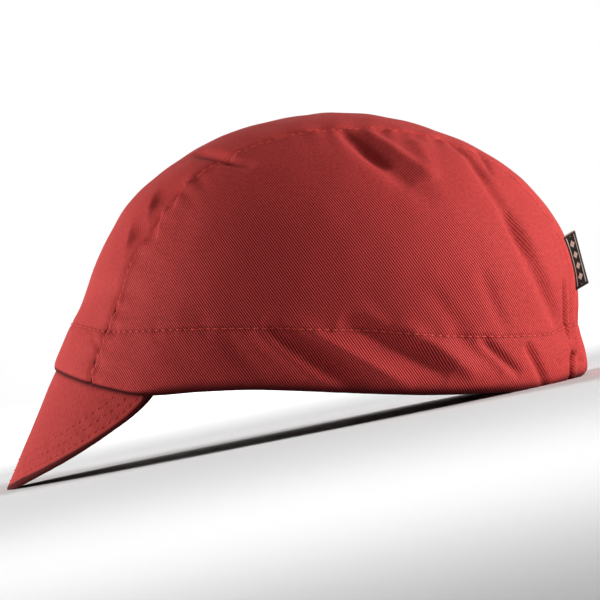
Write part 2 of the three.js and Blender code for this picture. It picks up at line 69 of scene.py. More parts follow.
print("frame nodes:", sorted(frame["nodes"]))

# %% [markdown]
# The driving sizes are the real cap's, in metres, measured with its rim level. Everything below is
# worked out from them. A table of level sections gives the crown's shape as shares of these sizes:
# that is how a hat block is drawn, and it keeps the crown smooth with few numbers. Boxes or
# spheres pushed about by hand would be quicker to start but never meet the solid's outline.

# %% Sizes of the cap
RIM_LENGTH = 0.204
RIM_WIDTH = 0.164
CROWN_HEIGHT = 0.106
STRIP_WIDTH = 0.092
CLOTH = 0.0012
GAP = 0.0003
HEM_ROLL = 0.0012
HEM_DEPTH = 0.003
BAND_HEIGHT = 0.0225
BAND_CLOTH = 0.0012
BAND_LIFT = 0.0014
PEAK_WIDTH = 0.129
PEAK_LENGTH = 0.0495
PEAK_THICKNESS = 0.0026
PEAK_SLOPE = math.radians(67.4)
PEAK_SETBACK = 0.001
PEAK_TAPER = 0.74
PEAK_THINNEST = 0.3
FOLD_WIDTH = 0.008
FOLD_DEPTH = 0.003
ELASTIC_WIDTH = 0.072
PLEAT_DEPTH = 0.0018
PLEATS = 8
LABEL_HEIGHT = 0.0202
LABEL_REACH = 0.0069
LABEL_NARROW = (0.0015, 0.0021)
LABEL_THICKNESS = 0.001
LABEL_FOOT = 0.0375
LABEL_TILT = math.radians(30)
SECTION_POWER = 2.2
EGG = 0.05
HALF_LENGTH = RIM_LENGTH / 2
HALF_WIDTH = RIM_WIDTH / 2
HALF_STRIP = STRIP_WIDTH / 2


def table(columns, rows):
    """Rows of numbers under named columns."""
    return dict(zip(columns.split(), np.array(rows, float).T))


SECTIONS = table("up front back side", [
    (-0.08, 1.03, 0.986, 0.99),
    (0, 1.02, 0.991, 1.0),
    (0.094, 1.006, 1.0, 1.01),
    (0.24, 0.94, 0.968, 1.025),
    (0.31, 0.904, 0.966, 1.025),
    (0.42, 0.866, 0.955, 1.02),
    (0.567, 0.796, 0.907, 0.965),
    (0.675, 0.7245, 0.834, 0.89),
    (0.785, 0.6, 0.723, 0.765),
    (0.873, 0.463, 0.577, 0.6),
    (0.939, 0.313, 0.413, 0.43),
    (0.977, 0.159, 0.275, 0.27),
    (1, -0.069, 0.069, 0),
])
RIM = table("along up", [
    (-1.02, 0.077), (-0.93, 0.043), (-0.82, 0.013), (-0.66, -0.013), (-0.45, 0), (-0.25, 0.007),
    (0.05, -0.002), (0.38, -0.012), (0.65, -0.005), (0.82, 0.007), (0.92, 0.03), (1.0, 0.05),
])
BAND_LINE = table("along up", [
    (-1.02, 1.12), (-0.93, 1.09), (-0.79, 0.98), (-0.5, 1.02), (-0.27, 1.04), (0.07, 1.01),
    (0.29, 0.96), (0.48, 0.907), (0.83, 0.93), (0.91, 1.06), (1.0, 1.14),
])
SEAM = table("along up across", [
    (-0.868, 0.03, 0.989),
    (-0.789, 0.24, 1.02),
    (-0.716, 0.453, 1.01),
    (-0.598, 0.642, 0.978),
    (-0.441, 0.788, 0.913),
    (-0.245, 0.873, 0.865),
    (0, 0.929, 0.804),
    (0.245, 0.929, 0.735),
    (0.441, 0.898, 0.641),
    (0.588, 0.842, 0.587),
    (0.745, 0.726, 0.565),
    (0.863, 0.594, 0.533),
    (0.922, 0.443, 0.478),
    (0.951, 0.236, 0.435),
    (0.961, 0.053, 0.435),
])
print("sections:", len(SECTIONS["up"]), "seam places:", len(SEAM["along"]))

# %% [markdown]
# A smooth curve through the rows of a table joins them without corners. A straight line between
# rows would print each row on the cloth as a crease. Each stretch is a cubic whose slope at a row
# is that of the chord between its neighbours.


# %% Curves through tables
def smooth(keys, values, at):
    """A smooth curve through values at rising keys."""
    reach = np.clip([np.arange(len(keys)) - 1, np.arange(len(keys)) + 1], 0, len(keys) - 1)
    slopes = (values[reach[1]] - values[reach[0]]) / (keys[reach[1]] - keys[reach[0]])
    row = np.clip(np.searchsorted(keys, at) - 1, 0, len(keys) - 2)
    step = keys[row + 1] - keys[row]
    share = (at - keys[row]) / step
    rest = 1 - share
    return (
        values[row] * rest**2 * (1 + 2 * share)
        + values[row + 1] * share**2 * (1 + 2 * rest)
        + slopes[row] * step * share * rest**2
        - slopes[row + 1] * step * share**2 * rest
    )


def rim_height(y):
    """Height of the hem's edge."""
    return smooth(RIM["along"], RIM["up"], y / HALF_LENGTH) * CROWN_HEIGHT


def band_height(y):
    """Height of the row of stitches over the sweatband."""
    return smooth(BAND_LINE["along"], BAND_LINE["up"], y / HALF_LENGTH) * BAND_HEIGHT


print("hem at the side, mm:", round(float(rim_height(0.0)) * 1000, 2))

# %% [markdown]
# The crown is a stack of rounded sections. Near the top a dome widens with the square root of the
# drop, so the sections are read by that root, and one row mirrored beyond the top keeps the crown
# round there. A point is laid on the crown by a cast: the line from the heart, a place low in the
# head's room, is halved again and again until it meets the wall. Numpy casts a whole grid of
# points at once, which is why it is used here and not a Shrinkwrap modifier.

# %% The crown
FINE_SECTIONS = 4001
CAST_STEPS = 28
SETTLE_STEPS = 4
FEELER = 0.0005
TINY = 1e-12
HEART_BACK = 0.069
HEART_DROP = 0.42
HEART = np.array([0, HEART_BACK * HALF_LENGTH, -HEART_DROP * CROWN_HEIGHT])
UP = np.array([0.0, 0.0, 1.0])
MIRROR = np.array([-1.0, 1.0, 1.0])

top_roots = np.sqrt(1 - SECTIONS["up"][::-1])
roots = np.concatenate([[-top_roots[1]], top_roots])
fine_roots = np.linspace(roots[0], roots[-1], FINE_SECTIONS)
mirror_of = {"front": "back", "back": "front", "side": "side"}
profile = {}
for name, other in mirror_of.items():
    column = np.concatenate([[-SECTIONS[other][-2]], SECTIONS[name][::-1]])
    profile[name] = smooth(roots, column, fine_roots)


def section_at(height):
    """Middle, half length and half width of the crown at a height."""
    root = np.sqrt(np.maximum(0, 1 - height / CROWN_HEIGHT))
    front = np.interp(root, fine_roots, profile["front"]) * HALF_LENGTH
    back = np.interp(root, fine_roots, profile["back"]) * HALF_LENGTH
    side = np.interp(root, fine_roots, profile["side"]) * HALF_WIDTH
    return (back - front) / 2, (back + front) / 2, side


def squared(value):
    """A sine or cosine, drawn out so that the section it draws is a squarer oval."""
    return np.sign(value) * np.abs(value) ** (2 / SECTION_POWER)


def wall_point(turn, height):
    """The crown at a height, at a turn from the front middle round by the left side."""
    middle, half, side = section_at(height)
    lean = -squared(np.cos(turn))
    reach = side * squared(np.sin(turn)) * (1 + EGG * lean)
    return np.stack(np.broadcast_arrays(reach, middle + half * lean, height), -1)


def inside_crown(points):
    """Which points lie inside the crown's outer wall."""
    middle, half, side = section_at(points[..., 2])
    tall = (half > 0) & (side > 0)
    lean = (points[..., 1] - middle) / np.where(tall, half, 1)
    across = points[..., 0] / (np.where(tall, side, 1) * (1 + EGG * np.clip(lean, -1, 1)))
    return tall & (np.abs(lean) ** SECTION_POWER + np.abs(across) ** SECTION_POWER < 1)


def cast(targets):
    """Where lines from the heart through the targets meet the crown."""
    ray = targets - HEART
    low = np.full(ray.shape[:-1], SECTIONS["up"][0] * CROWN_HEIGHT)
    high = np.full(ray.shape[:-1], CROWN_HEIGHT)
    for _ in range(CAST_STEPS):
        height = (low + high) / 2
        inside = inside_crown(HEART + ray * ((height - HEART[2]) / ray[..., 2])[..., None])
        low = np.where(inside, height, low)
        high = np.where(inside, high, height)
    return HEART + ray * ((low - HEART[2]) / ray[..., 2])[..., None]


def unit(vectors):
    """The same directions, one long."""
    return vectors / np.maximum(np.linalg.norm(vectors, axis=-1, keepdims=True), TINY)


def normal_at(points):
    """The directions straight out of the crown at points on it."""
    ray = unit(points - HEART)
    sideways = unit(np.array([1.0, 0, 0]) - ray * ray[..., :1])
    lengthways = np.cross(ray, sideways)
    slopes = [cast(points + way * FEELER) - cast(points - way * FEELER)
              for way in (sideways, lengthways)]
    normal = unit(np.cross(*slopes))
    return normal * np.sign((normal * ray).sum(-1, keepdims=True))


def rim_point(turn):
    """The hem's edge at a turn."""
    point = wall_point(turn, np.zeros_like(turn))
    for _ in range(SETTLE_STEPS):
        point = wall_point(turn, rim_height(point[..., 1]))
    return point


def rim_turn(across, at_back):
    """The turn at which the hem is so far from the middle, in front or at the back."""
    near, far = (math.pi if at_back else 0.0), math.pi / 2
    for _ in range(CAST_STEPS):
        turn = (near + far) / 2
        if rim_point(np.array(turn))[0] < across:
            near = turn
        else:
            far = turn
    return near


print("crown top, mm:", np.round(cast(np.array([0.0, 0.0, CROWN_HEIGHT])) * 1000, 1))

# %% [markdown]
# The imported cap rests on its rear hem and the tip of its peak, so it leans back. The frame's own
# peak says by how much: its middle line slopes less than on a level cap. Turning the level cap by
# that lean and moving its tip onto the frame's tip puts every later piece in place. Reading the
# lean from the frame keeps the looks and the solids together if the cap is ever resized.

# %% How the cap rests
peak_points = np.array([vertex.co for vertex in frame["nodes"]["peak"].data.vertices])
peak_tip = peak_points[peak_points[:, 1].argmin()]
peak_middle = peak_points[np.abs(peak_points[:, 0]) < FEELER]
peak_root = peak_middle[peak_middle[:, 2].argmax()]
rise = peak_root - peak_tip
LEAN = PEAK_SLOPE - math.atan2(rise[2], rise[1])
TURN = np.array([
    [1, 0, 0],
    [0, math.cos(LEAN), math.sin(LEAN)],
    [0, -math.sin(LEAN), math.cos(LEAN)],
])
front_hem = rim_point(np.array([0.0]))[0]
front_normal = normal_at(front_hem)
level_tip = front_hem - front_normal * PEAK_SETBACK - UP * GAP
level_tip = level_tip + PEAK_LENGTH * np.array([0, -math.cos(PEAK_SLOPE), -math.sin(PEAK_SLOPE)])
SHIFT = peak_tip - TURN @ level_tip


def settled(points):
    """Points of the level cap, leaned back, set down and pressed flat on the floor."""
    placed = points @ TURN.T + SHIFT
    placed[..., 2] = np.maximum(placed[..., 2], 0)
    return placed


print("lean, degrees:", round(math.degrees(LEAN), 2), "shift, mm:", np.round(SHIFT * 1000, 2))

# %% [markdown]
# The camera stands off the cap's left side and looks level at it. It is rolled by the cap's lean,
# so that the rim runs straight across the picture as it does on a worn cap. A long lens from a
# couple of metres keeps the near and far sides of the crown almost the same size.

# %% Camera
PICTURE_PIXELS = 600
PIXEL = 0.000385
CAP_MIDDLE_PIXEL = (322, 388)
CAMERA_DISTANCE = 2.2
SENSOR = 36

aim_along = (PICTURE_PIXELS / 2 - CAP_MIDDLE_PIXEL[0]) * PIXEL
aim_up = (CAP_MIDDLE_PIXEL[1] - PICTURE_PIXELS / 2) * PIXEL
aim = settled(np.array([0.0, aim_along, aim_up]))
camera = bpy.data.objects.new("camera", bpy.data.cameras.new("camera"))
camera.data.sensor_width = SENSOR
camera.data.lens = SENSOR * CAMERA_DISTANCE / (PICTURE_PIXELS * PIXEL)
bpy.context.scene.collection.objects.link(camera)
bpy.context.scene.camera = camera
axes = np.eye(4)
axes[:3, 0] = TURN @ [0, 1, 0]
axes[:3, 1] = TURN @ [0, 0, 1]
axes[:3, 2] = [1, 0, 0]
axes[:3, 3] = aim + [CAMERA_DISTANCE, 0, 0]
camera.matrix_world = Matrix(axes.tolist())
print("camera at", np.round(axes[:3, 3], 3), "lens, mm:", round(camera.data.lens))

# %% [markdown]
# Cloth that lies on a head is never smooth. The folds of this cap are drawn as seen from the side:
# each runs from one place through a middle to another and lowers the cloth across its path as a
# bell curve does. A cloth simulation would make folds too, but not these ones in these places.
# Places are shares of the rim's half length and of the crown's height. The first table follows the
# folds of the solids, moved and deepened on the left side, and the second adds small creases, too
# fine for the solids, that light picks out. A negative depth makes a ridge.

# %% Folds
LEFT = 1
RIGHT = -1
Fold = namedtuple("Fold", "side start middle end wide deep")
FOLDS = [
    # The shoulder fold, in three layers so that it tapers, and the ridges beside it
    Fold(LEFT, (0.05, 0.94), (0.14, 0.87), (0.24, 0.79), 0.7, 0.5),
    Fold(LEFT, (0.08, 0.92), (0.2, 0.82), (0.33, 0.72), 1.0, 0.4),
    Fold(LEFT, (0.11, 0.89), (0.26, 0.775), (0.42, 0.66), 1.3, 0.35),
    Fold(LEFT, (0.14, 0.93), (0.26, 0.855), (0.42, 0.74), 0.7, -0.4),
    Fold(LEFT, (0.34, 0.89), (0.37, 0.84), (0.41, 0.74), 0.9, -0.3),
    # The long crease down the back, in three lengths, and a faint one beside its foot
    Fold(LEFT, (0.43, 0.91), (0.53, 0.84), (0.61, 0.74), 0.5, 0.35),
    Fold(LEFT, (0.54, 0.83), (0.67, 0.64), (0.78, 0.46), 0.8, 0.55),
    Fold(LEFT, (0.66, 0.65), (0.785, 0.43), (0.885, 0.2), 1.0, 0.9),
    Fold(LEFT, (0.57, 0.44), (0.62, 0.32), (0.68, 0.2), 0.7, 0.25),
    # Two shallow dents low on the side
    Fold(LEFT, (0.13, 0.37), (0.24, 0.26), (0.33, 0.2), 0.8, 0.22),
    Fold(LEFT, (0.39, 0.37), (0.47, 0.26), (0.54, 0.2), 0.8, 0.22),
    # Folds and ridges that slant across the band
    Fold(LEFT, (-0.37, 0.22), (-0.29, 0.115), (-0.18, 0.02), 0.8, 0.4),
    Fold(LEFT, (-0.25, 0.23), (-0.11, 0.11), (0.08, -0.01), 0.8, -0.7),
    Fold(LEFT, (-0.22, 0.25), (-0.03, 0.14), (0.17, 0.01), 0.9, 1.3),
    Fold(LEFT, (-0.16, 0.25), (0.06, 0.145), (0.34, 0.01), 0.9, -0.9),
    Fold(LEFT, (0.06, 0.25), (0.25, 0.17), (0.47, 0.06), 0.9, 1.2),
    Fold(LEFT, (0.25, 0.24), (0.42, 0.15), (0.57, 0.04), 0.8, -0.6),
    Fold(LEFT, (0.46, 0.22), (0.57, 0.13), (0.66, 0.06), 0.7, 0.3),
    Fold(LEFT, (0.57, 0.19), (0.65, 0.12), (0.73, 0.05), 0.5, 0.6),
    Fold(LEFT, (0.74, 0.17), (0.79, 0.09), (0.84, -0.02), 0.55, 0.65),
    # The rear notch and the arch over it
    Fold(LEFT, (0.935, 0.14), (0.93, 0.08), (0.935, 0.0), 0.4, 1.0),
    Fold(LEFT, (0.87, 0.1), (0.925, 0.14), (0.985, 0.1), 0.4, -0.3),
    # Dents beside the front seam
    Fold(LEFT, (-0.72, 0.545), (-0.65, 0.58), (-0.6, 0.6), 1.5, 0.85),
    Fold(LEFT, (-0.64, 0.665), (-0.57, 0.695), (-0.52, 0.71), 1.5, 0.85),
    Fold(LEFT, (-0.48, 0.85), (-0.38, 0.83), (-0.25, 0.79), 0.7, 0.6),
    # The wearer's right side
    Fold(RIGHT, (0, 0.95), (0.2, 0.87), (0.36, 0.7), 0.8, 0.8),
    Fold(RIGHT, (0.18, 0.96), (0.3, 0.84), (0.45, 0.62), 0.9, -0.4),
    Fold(RIGHT, (0.46, 0.88), (0.7, 0.62), (0.9, 0.24), 0.7, 0.75),
    Fold(RIGHT, (-0.32, 0.24), (-0.1, 0.13), (0.12, 0.02), 1, 0.6),
    Fold(RIGHT, (-0.16, 0.24), (0.06, 0.13), (0.28, 0.01), 0.8, -0.4),
    Fold(RIGHT, (0.1, 0.21), (0.28, 0.12), (0.45, 0.03), 0.9, 0.55),
    Fold(RIGHT, (0.42, 0.21), (0.54, 0.13), (0.64, 0.04), 0.7, 0.35),
    Fold(RIGHT, (0.7, 0.19), (0.76, 0.1), (0.83, 0.01), 0.6, 0.4),
    Fold(RIGHT, (-0.6, 0.82), (-0.5, 0.78), (-0.38, 0.76), 0.6, 0.45),
]
CREASES = [
    Fold(LEFT, (0.58, 0.86), (0.6, 0.82), (0.63, 0.76), 0.35, 0.22),
    Fold(LEFT, (0.9, 0.4), (0.903, 0.3), (0.906, 0.22), 0.4, 0.45),
    Fold(LEFT, (0.905, 0.24), (0.93, 0.18), (0.96, 0.12), 0.4, 0.45),
    Fold(LEFT, (-0.86, 0.2), (-0.83, 0.15), (-0.82, 0.11), 0.35, 0.2),
    Fold(RIGHT, (0.88, 0.4), (0.9, 0.3), (0.92, 0.2), 0.35, 0.35),
]
print("folds:", len(FOLDS), "creases:", len(CREASES))

# %% [markdown]
# A fold's three places are joined by a curve, and the curve is laid on the crown as short straight
# steps. Each point of the cloth then asks how far it is from those steps. A fold fades at both
# ends, and only the points in a box round it are asked, which spares most of the work.

# %% How a fold lowers the cloth
FOLD_STEPS = 16
FOLD_FADE = 4
FOLD_REACH = 3.5


def on_side(along, up, side):
    """A place seen from the side, laid on the crown's wall."""
    height = up * CROWN_HEIGHT
    middle, half, wide = section_at(height)
    lean = np.clip((along * HALF_LENGTH - middle) / half, -1, 1)
    across = (1 - np.abs(lean) ** SECTION_POWER) ** (1 / SECTION_POWER)
    reach = wide * (1 + EGG * lean) * across
    return np.stack([side * reach, middle + half * lean, height], -1)


def fold_path(fold):
    """A curve through a fold's three places, as short straight steps on the crown."""
    share = np.linspace(0, 1, FOLD_STEPS + 1)[:, None]
    start, middle, end = map(np.array, (fold.start, fold.middle, fold.end))
    pull = 2 * middle - (start + end) / 2
    places = (1 - share) ** 2 * start + 2 * share * (1 - share) * pull + share**2 * end
    return on_side(places[:, 0], places[:, 1], fold.side)


def nearest_on(points, path):
    """Distance of each point from a path and how far along the path its nearest place is."""
    best = np.full(len(points), np.inf)
    share = np.zeros(len(points))
    for index, (start, end) in enumerate(zip(path, path[1:])):
        way = end - start
        along = np.clip((points - start) @ way / (way @ way), 0, 1)
        distance = np.linalg.norm(points - start - along[:, None] * way, axis=1)
        nearer = distance < best
        best[nearer] = distance[nearer]
        share[nearer] = (index + along[nearer]) / (len(path) - 1)
    return best, share


def fold_drop(points, folds):
    """How far the folds lower the cloth at each point."""
    flat = points.reshape(-1, 3)
    drop = np.zeros(len(flat))
    for fold in folds:
        path = fold_path(fold)
        reach = fold.wide * FOLD_WIDTH / 2
        low, high = path.min(0) - FOLD_REACH * reach, path.max(0) + FOLD_REACH * reach
        near = np.flatnonzero(((flat > low) & (flat < high)).all(1))
        distance, share = nearest_on(flat[near], path)
        fade = 1 - np.abs(2 * share - 1) ** FOLD_FADE
        drop[near] += fold.deep * FOLD_DEPTH * fade * np.exp(-((distance / reach) ** 2))
    return drop.reshape(points.shape[:-1])


print("deepest fold, mm:", round(max(fold.deep for fold in FOLDS) * FOLD_DEPTH * 1000, 2))

# %% [markdown]
# Three more things shape the wall: the elastic inside the back draws it into pleats, the folded
# hem turns in, and the cloth itself is never quite even. The unevenness is a sum of long waves
# with seeded directions, so it is the same on every run. A noise texture as a Displace modifier
# would do as well, but waves stay smooth across the seams between the pieces.

# %% Pleats, hem and unevenness
PLEAT_WANDER = 0.2
PLEAT_ABOVE = 0.75
PLEAT_BELOW = 0.7
OVER_PEAK = (0.55, 0.72)
PROUD_HEM = 0.75
UNEVEN = 0.00009
UNEVEN_WAVES = 22
UNEVEN_LENGTHS = (0.011, 0.038)
UNEVEN_SEED = 11


def step_between(value, low, high):
    """A smooth step from 0 at the low end to 1 at the high end."""
    share = np.clip((value - low) / (high - low), 0, 1)
    return share * share * (3 - 2 * share)


def pleat_drop(points):
    """How far the elastic's pleats lower the cloth."""
    pitch = ELASTIC_WIDTH / PLEATS
    beyond = (np.abs(points[..., 0]) - ELASTIC_WIDTH / 2) / (pitch / 2)
    fade = (1 - step_between(beyond, 0, 1)) * (points[..., 1] > 0)
    over = points[..., 2] - band_height(points[..., 1])
    spread = BAND_HEIGHT * np.where(over > 0, PLEAT_ABOVE, PLEAT_BELOW)
    turns = 2 * math.pi * points[..., 0] / pitch
    wave = np.cos(turns + 2 * math.pi * PLEAT_WANDER * np.sin(turns / (PLEATS / 2)))
    return PLEAT_DEPTH * fade * np.exp(-((over / spread) ** 2)) * (0.5 + 0.5 * wave)


def hem_drop(points):
    """How far the hem turns in: less in front, where it lies on the peak."""
    share = np.clip((points[..., 2] - rim_height(points[..., 1])) / HEM_DEPTH, 0, 1)
    in_front = step_between(-points[..., 1] / HALF_LENGTH, *OVER_PEAK)
    return HEM_ROLL * (1 - PROUD_HEM * in_front) * (1 - share) ** 2


def waves(points, count, lengths, seed):
    """A sum of even waves in seeded directions, about one high."""
    dice = np.random.default_rng(seed)
    total = np.zeros(points.shape[:-1])
    for _ in range(count):
        way = unit(dice.normal(size=points.shape[-1]))
        length = dice.uniform(*lengths)
        total += np.sin(2 * math.pi * (points @ way) / length + dice.uniform(0, 2 * math.pi))
    return total / math.sqrt(count / 2)


def relief(points):
    """Height of the cloth over the plain crown."""
    return -(fold_drop(points, FOLDS) + pleat_drop(points) + hem_drop(points))


def fine_relief(points):
    """The same with the small creases and the unevenness of the cloth."""
    uneven = UNEVEN * waves(points, UNEVEN_WAVES, UNEVEN_LENGTHS, UNEVEN_SEED)
    return relief(points) - fold_drop(points, CREASES) + uneven


def bell(distance, width):
    """A bell curve, one high."""
    return np.exp(-((distance / width) ** 2))


print("pleat pitch, mm:", ELASTIC_WIDTH / PLEATS * 1000)

# %% [markdown]
# Every cloth piece is a thin closed body: an outer face, an inner face and a rounded edge all
# round, like cloth folded over. The faces are grids of points, which later steps lay out. A
# Solidify modifier could thicken a single face, but it leaves the edge square, and a folded hem
# shows its round edge in every picture.

# %% Closed sheets of cloth
EDGE_STEPS = 4


def closed_sheet(outer, inner, bulge):
    """Points and faces of a sheet between two grids. The inner grid may have fewer rows, where
    the grids' end columns are single points."""
    columns, rows = outer.shape[:2]
    few = inner.shape[1]
    outer_at = np.arange(columns * rows).reshape(columns, rows)
    inner_at = outer_at.size + np.arange(columns * few).reshape(columns, few)
    last, top = columns - 1, rows - 1
    border = [(column, 0) for column in range(last)]
    border += [(last, row) for row in range(top)]
    border += [(column, top) for column in range(last, 0, -1)]
    border += [(0, row) for row in range(top, 0, -1)]
    at = np.array(border)
    inner_row = np.round(at[:, 1] * (few - 1) / top).astype(int)
    here = outer[at[:, 0], at[:, 1]]
    back = np.clip(at, 1, [last - 1, top - 1])
    sideways = here - outer[back[:, 0], at[:, 1]]
    upwards = here - outer[at[:, 0], back[:, 1]]
    outward = unit(unit(sideways) * (np.abs(sideways).sum(1) > 0)[:, None] + unit(upwards))
    under = inner[at[:, 0], inner_row]
    middle, half = (here + under) / 2, (here - under) / 2
    turns = np.pi * np.arange(1, EDGE_STEPS) / EDGE_STEPS
    rings = [middle + half * math.cos(turn) + outward * bulge * math.sin(turn) for turn in turns]
    points = np.concatenate([outer.reshape(-1, 3), inner.reshape(-1, 3), *rings])
    first_ring = outer_at.size + inner_at.size
    loops = [outer_at[at[:, 0], at[:, 1]]]
    loops += [first_ring + step * len(at) + np.arange(len(at)) for step in range(len(rings))]
    loops.append(inner_at[at[:, 0], inner_row])
    faces = [quads(outer_at), quads(inner_at)[:, ::-1]]
    faces += [quads(np.stack([np.append(a, a[0]), np.append(b, b[0])], 1))
              for a, b in zip(loops, loops[1:])]
    return points, np.concatenate(faces)


def quads(at):
    """The four corners of each face of a grid of point numbers."""
    return np.stack([at[:-1, :-1], at[1:, :-1], at[1:, 1:], at[:-1, 1:]], -1).reshape(-1, 4)


def closed_loop(outer, inner, bulge):
    """Points and faces of a ring of cloth, whose grids meet themselves after their last column."""
    turns = np.pi * np.arange(1, EDGE_STEPS) / EDGE_STEPS

    def edge(first, second, before):
        """The rounded edge from one face to the other, as a few lines of points."""
        middle, half = (first + second) / 2, (first - second) / 2
        outward = unit(first - before)
        return [middle + half * math.cos(turn) + outward * bulge * math.sin(turn)
                for turn in turns]

    over = edge(outer[:, -1], inner[:, -1], outer[:, -2])
    below = edge(inner[:, 0], outer[:, 0], inner[:, 1])
    loop = np.concatenate(
        [outer, np.stack(over, 1), inner[:, ::-1], np.stack(below, 1)], axis=1)
    at = np.arange(loop.shape[0] * loop.shape[1]).reshape(loop.shape[:2])
    return loop.reshape(-1, 3), quads(np.pad(at, ((0, 1), (0, 1)), mode="wrap"))


print("edge steps:", EDGE_STEPS)

# %% [markdown]
# A body's grids meet in points that coincide, at the ends of a side panel for one. They are welded
# into single points, so that the mesh is closed, and the printed count of open edges proves it.
# Each piece then gets its finish, its place in the frame and the solid it stands for.

# %% From points to a piece
WELD = 1e-9
SHARP = math.radians(60)


def welded(points, faces):
    """The same body with coinciding points made one and the faces that vanish left out."""
    _, first, number = np.unique(
        np.round(points / WELD), axis=0, return_index=True, return_inverse=True)
    faces = number.reshape(-1)[faces]
    ends_meet = (faces == np.roll(faces, -1, axis=1)).any(1)
    kept = faces[~ends_meet].tolist()
    for face in faces[ends_meet].tolist():
        corners = list(dict.fromkeys(face))
        if len(corners) > 2:
            kept.append(corners)
    return first, kept


def set_marks(mesh, marks):
    """Writes what each point tells the material: a place as three numbers, or one value."""
    for mark_name, values in marks.items():
        kind, key = ("FLOAT_VECTOR", "vector") if values.ndim == 2 else ("FLOAT", "value")
        spot = mesh.attributes.new(mark_name, kind, "POINT")
        spot.data.foreach_set(key, values.astype(np.float32).ravel())


def put_in_scene(name, mesh, material):
    """An object with its material, riding on the cap's body."""
    mesh.shade_smooth()
    mesh.set_sharp_from_angle(angle=SHARP)
    mesh.materials.append(material)
    piece = bpy.data.objects.new(name, mesh)
    bpy.context.scene.collection.objects.link(piece)
    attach(piece, "root")
    return piece


def make_piece(name, points, faces, marks, node, material):
    """A closed mesh in its resting place that stands for a node of the frame."""
    first, kept = welded(points, faces)
    mesh = bpy.data.meshes.new(name)
    mesh.from_pydata(settled(points[first]), [], kept)
    set_marks(mesh, {mark_name: values[first] for mark_name, values in marks.items()})
    work = bmesh.new()
    work.from_mesh(mesh)
    bmesh.ops.recalc_face_normals(work, faces=work.faces)
    open_edges = sum(not edge.is_manifold for edge in work.edges)
    work.to_mesh(mesh)
    work.free()
    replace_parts(put_in_scene(name, mesh, material), node)
    print(name, "faces:", len(mesh.polygons), "open edges:", open_edges)


print("points closer than this are one, metres:", WELD)

# %% [markdown]
# A material is a web of nodes, but most of the web is arithmetic. The small class below wraps one
# socket and gives it Python's operators, so that a pattern of the weave reads as a formula. Each
# operator adds a Math node. Every other node comes from one method, which takes the node's type,
# its settings and what goes into its sockets.


# %% Shader maths
class Wire:
    """One output in a material's tree, with the operators that shader maths needs."""

    def __init__(self, tree, socket=None):
        self.tree = tree
        self.socket = socket

    def node(self, kind, settings=None, sockets=None, output=0):
        """Adds a node to the tree and gives one of its outputs."""
        made = self.tree.nodes.new(kind)
        for name, value in (settings or {}).items():
            setattr(made, name, value)
        for name, value in (sockets or {}).items():
            target = find(made.inputs, name)
            if isinstance(value, Wire):
                self.tree.links.new(value.socket, target)
            else:
                target.default_value = value
        return Wire(self.tree, find(made.outputs, output))

    def beside(self, output):
        """Another output of the same node."""
        return Wire(self.tree, find(self.socket.node.outputs, output))

    def math(self, operation, first, second=0.0, third=0.0):
        """A Math node."""
        settings = {"operation": operation}
        return self.node("ShaderNodeMath", settings, {0: first, 1: second, 2: third})

    def __add__(self, other):
        return self.math("ADD", self, other)

    def __sub__(self, other):
        return self.math("SUBTRACT", self, other)

    def __rsub__(self, other):
        return self.math("SUBTRACT", other, self)

    def __mul__(self, other):
        return self.math("MULTIPLY", self, other)

    def __truediv__(self, other):
        return self.math("DIVIDE", self, other)

    def __rtruediv__(self, other):
        return self.math("DIVIDE", other, self)

    __radd__ = __add__
    __rmul__ = __mul__

    def wave(self):
        """A smooth wave from 0 to 1 that comes round once for each unit."""
        return self.math("SINE", self * (2 * math.pi)) * 0.5 + 0.5

    def power(self, exponent):
        """The value raised to an exponent."""
        return self.math("POWER", self, exponent)

    def held(self):
        """The value, kept from 0 to 1."""
        return self.math("MINIMUM", self.math("MAXIMUM", self, 0.0), 1.0)

    def mixed(self, low, high):
        """A colour between two, by this value."""
        sockets = {"Factor_Float": self, "A_Color": low, "B_Color": high}
        return self.node("ShaderNodeMix", {"data_type": "RGBA"}, sockets, "Result_Color")


def find(sockets, key):
    """A node's socket by its number, its identifier or its name."""
    if isinstance(key, int):
        return sockets[key]
    return next(socket for socket in sockets if key in (socket.identifier, socket.name))


def new_material(name, constants):
    """A material, its start wire and its shader, with what is the same all over already set."""
    material = bpy.data.materials.new(name)
    material.use_nodes = True
    shader = material.node_tree.nodes["Principled BSDF"]
    for socket, value in constants.items():
        shader.inputs[socket].default_value = value
    return material, Wire(material.node_tree), shader


def attribute(wires, name, output="Vector"):
    """What each point of the mesh says under a name."""
    return wires.node("ShaderNodeAttribute", {"attribute_name": name}, {}, output)


def noise(place, scale, detail):
    """Soft even noise from 0 to 1 over a place."""
    sockets = {"Vector": place, "Scale": scale, "Detail": detail}
    return place.node("ShaderNodeTexNoise", {}, sockets, 0)


def bumped(height, strength, distance):
    """A normal that follows a height."""
    sockets = {"Strength": strength, "Distance": distance, "Height": height}
    return height.node("ShaderNodeBump", {}, sockets, "Normal")


def plug(wires, shader, **values):
    """Links values into the shader's sockets."""
    for socket, value in values.items():
        wires.tree.links.new(value.socket, shader.inputs[socket.replace("_", " ")])


print("operators ready")
